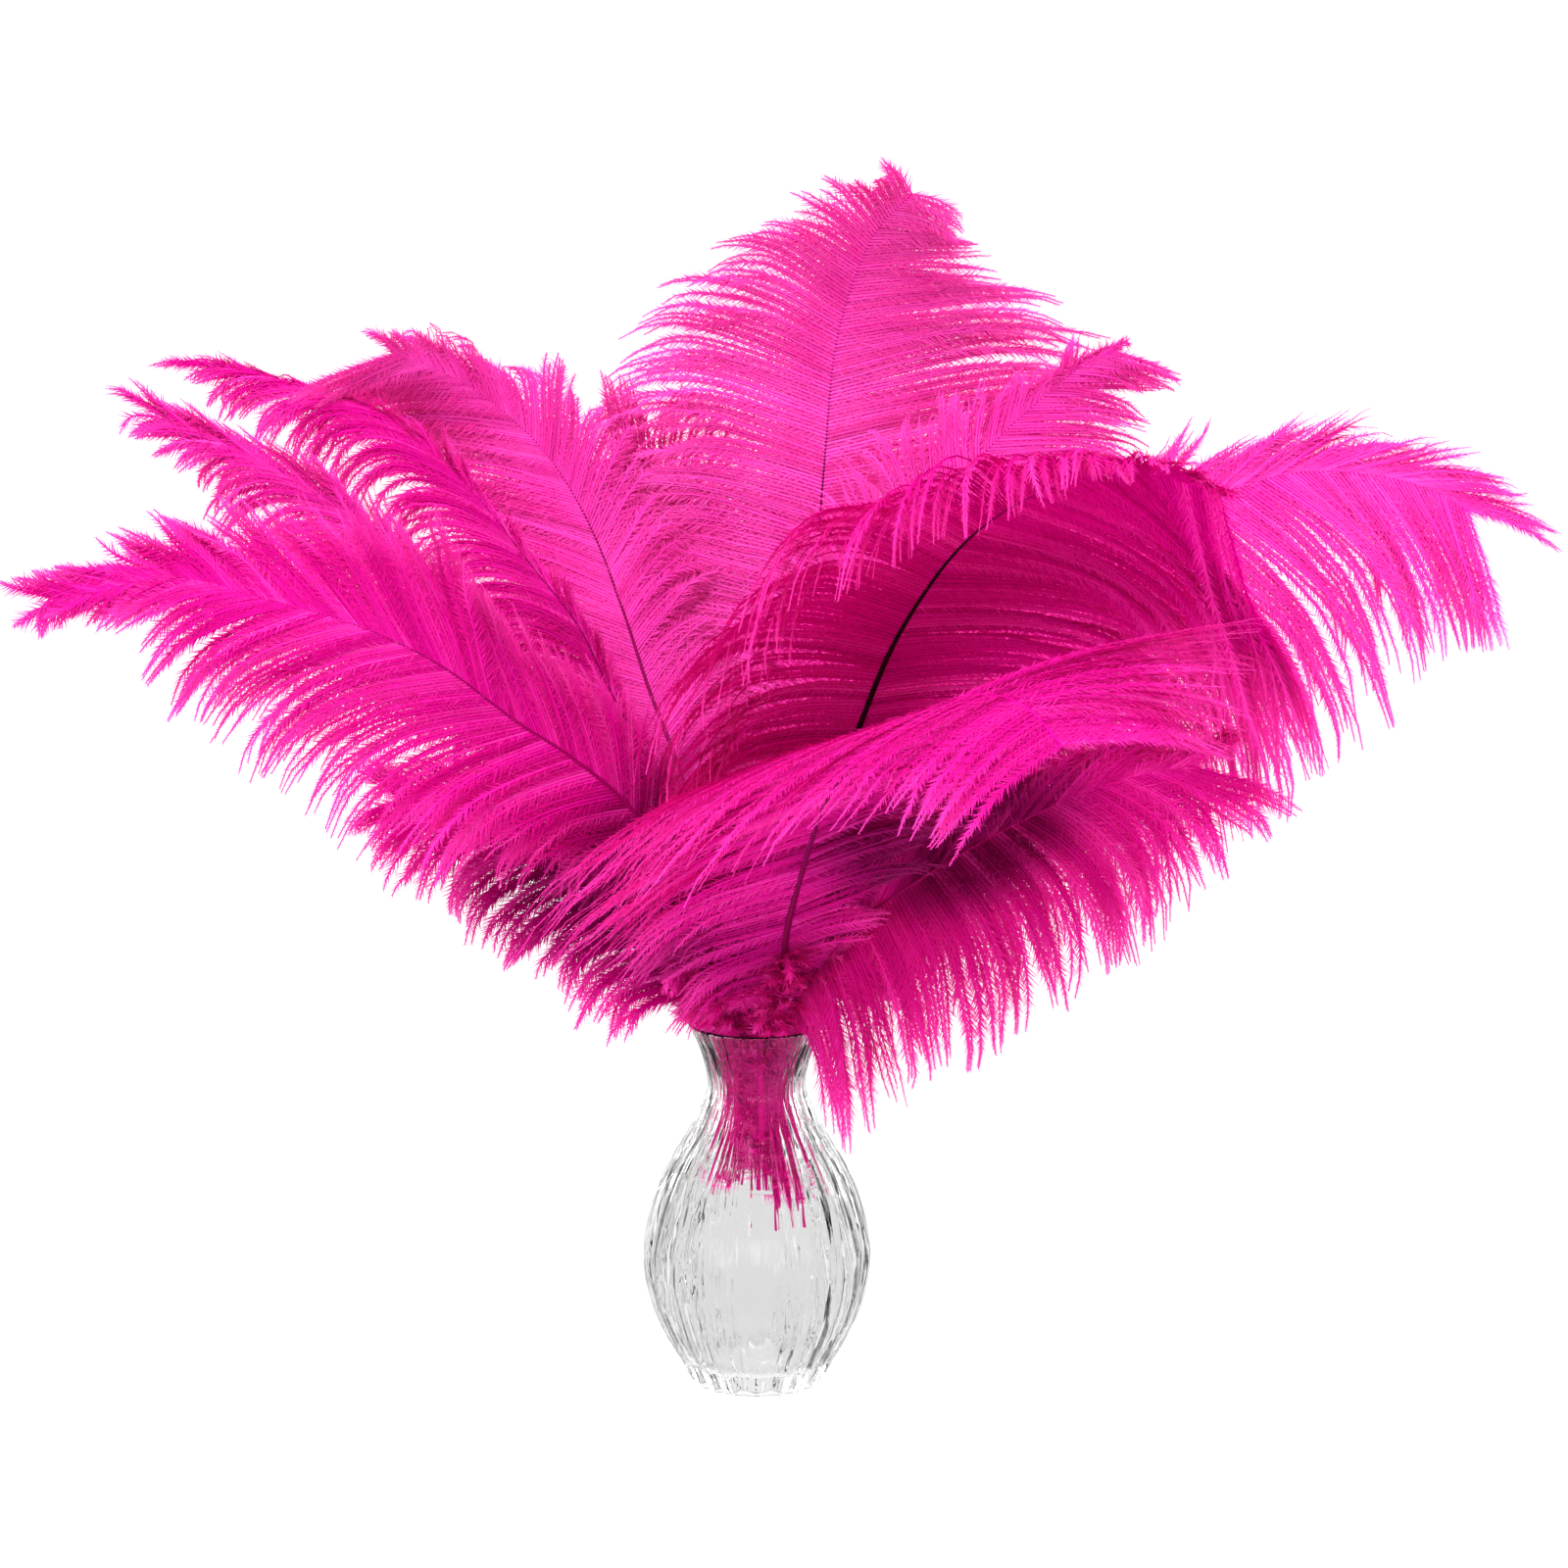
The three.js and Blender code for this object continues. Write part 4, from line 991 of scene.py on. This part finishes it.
def stand(name, data, place, aim):
    """Puts a light on the scene at a place, turned to its aim."""
    lamp = bpy.data.objects.new(name, data)
    lamp.location = place
    lamp.rotation_euler = (Vector(aim) - Vector(place)).to_track_quat("-Z", "Y").to_euler()
    bpy.context.scene.collection.objects.link(lamp)


def panel(name, size, energy, place, aim):
    """Stands a flat rectangular light at a place."""
    data = bpy.data.lights.new(name, "AREA")
    data.shape = "RECTANGLE"
    data.size, data.size_y = size
    data.energy = energy
    stand(name, data, place, aim)


overhead = bpy.data.lights.new("overhead panel", "SUN")
overhead.energy = OVERHEAD_ENERGY
overhead.angle = OVERHEAD_ANGLE
stand("overhead panel", overhead, OVERHEAD_PLACE, OVERHEAD_AIM)
for name, place in STRIPS.items():
    panel(name, STRIP_SIZE, STRIP_ENERGY, place, STRIP_AIM)
panel("low front panel", PANEL_SIZE, PANEL_ENERGY, PANEL_PLACE, PANEL_AIM)

world = bpy.data.worlds.new("white room")
world.use_nodes = True
world.node_tree.nodes["Background"].inputs["Color"].default_value = WHITE
world.node_tree.nodes["Background"].inputs["Strength"].default_value = WORLD_GLOW
bpy.context.scene.world = world
bpy.context.scene.view_settings.view_transform = "Standard"
bpy.context.scene.view_settings.look = "High Contrast"

# The camera's place follows from the pitch, the aim and the size of one pixel at the vase's axis.
CAMERA_DISTANCE = 2.0
CAMERA_PITCH = math.radians(12.5)
CAMERA_AIM = Vector((9.2, 0, 206)) * MM
PICTURE_WIDTH = 1600
MM_PER_PIXEL = 0.325
SENSOR_WIDTH = 36
camera_data = bpy.data.cameras.new("camera")
camera_data.sensor_width = SENSOR_WIDTH
camera_data.lens = SENSOR_WIDTH * CAMERA_DISTANCE / (PICTURE_WIDTH * MM_PER_PIXEL * MM)
camera = bpy.data.objects.new("camera", camera_data)
view_direction = Vector((0, math.cos(CAMERA_PITCH), -math.sin(CAMERA_PITCH)))
camera.location = CAMERA_AIM - view_direction * CAMERA_DISTANCE
camera.rotation_euler = (math.pi / 2 - CAMERA_PITCH, 0, 0)
bpy.context.scene.collection.objects.link(camera)
bpy.context.scene.camera = camera
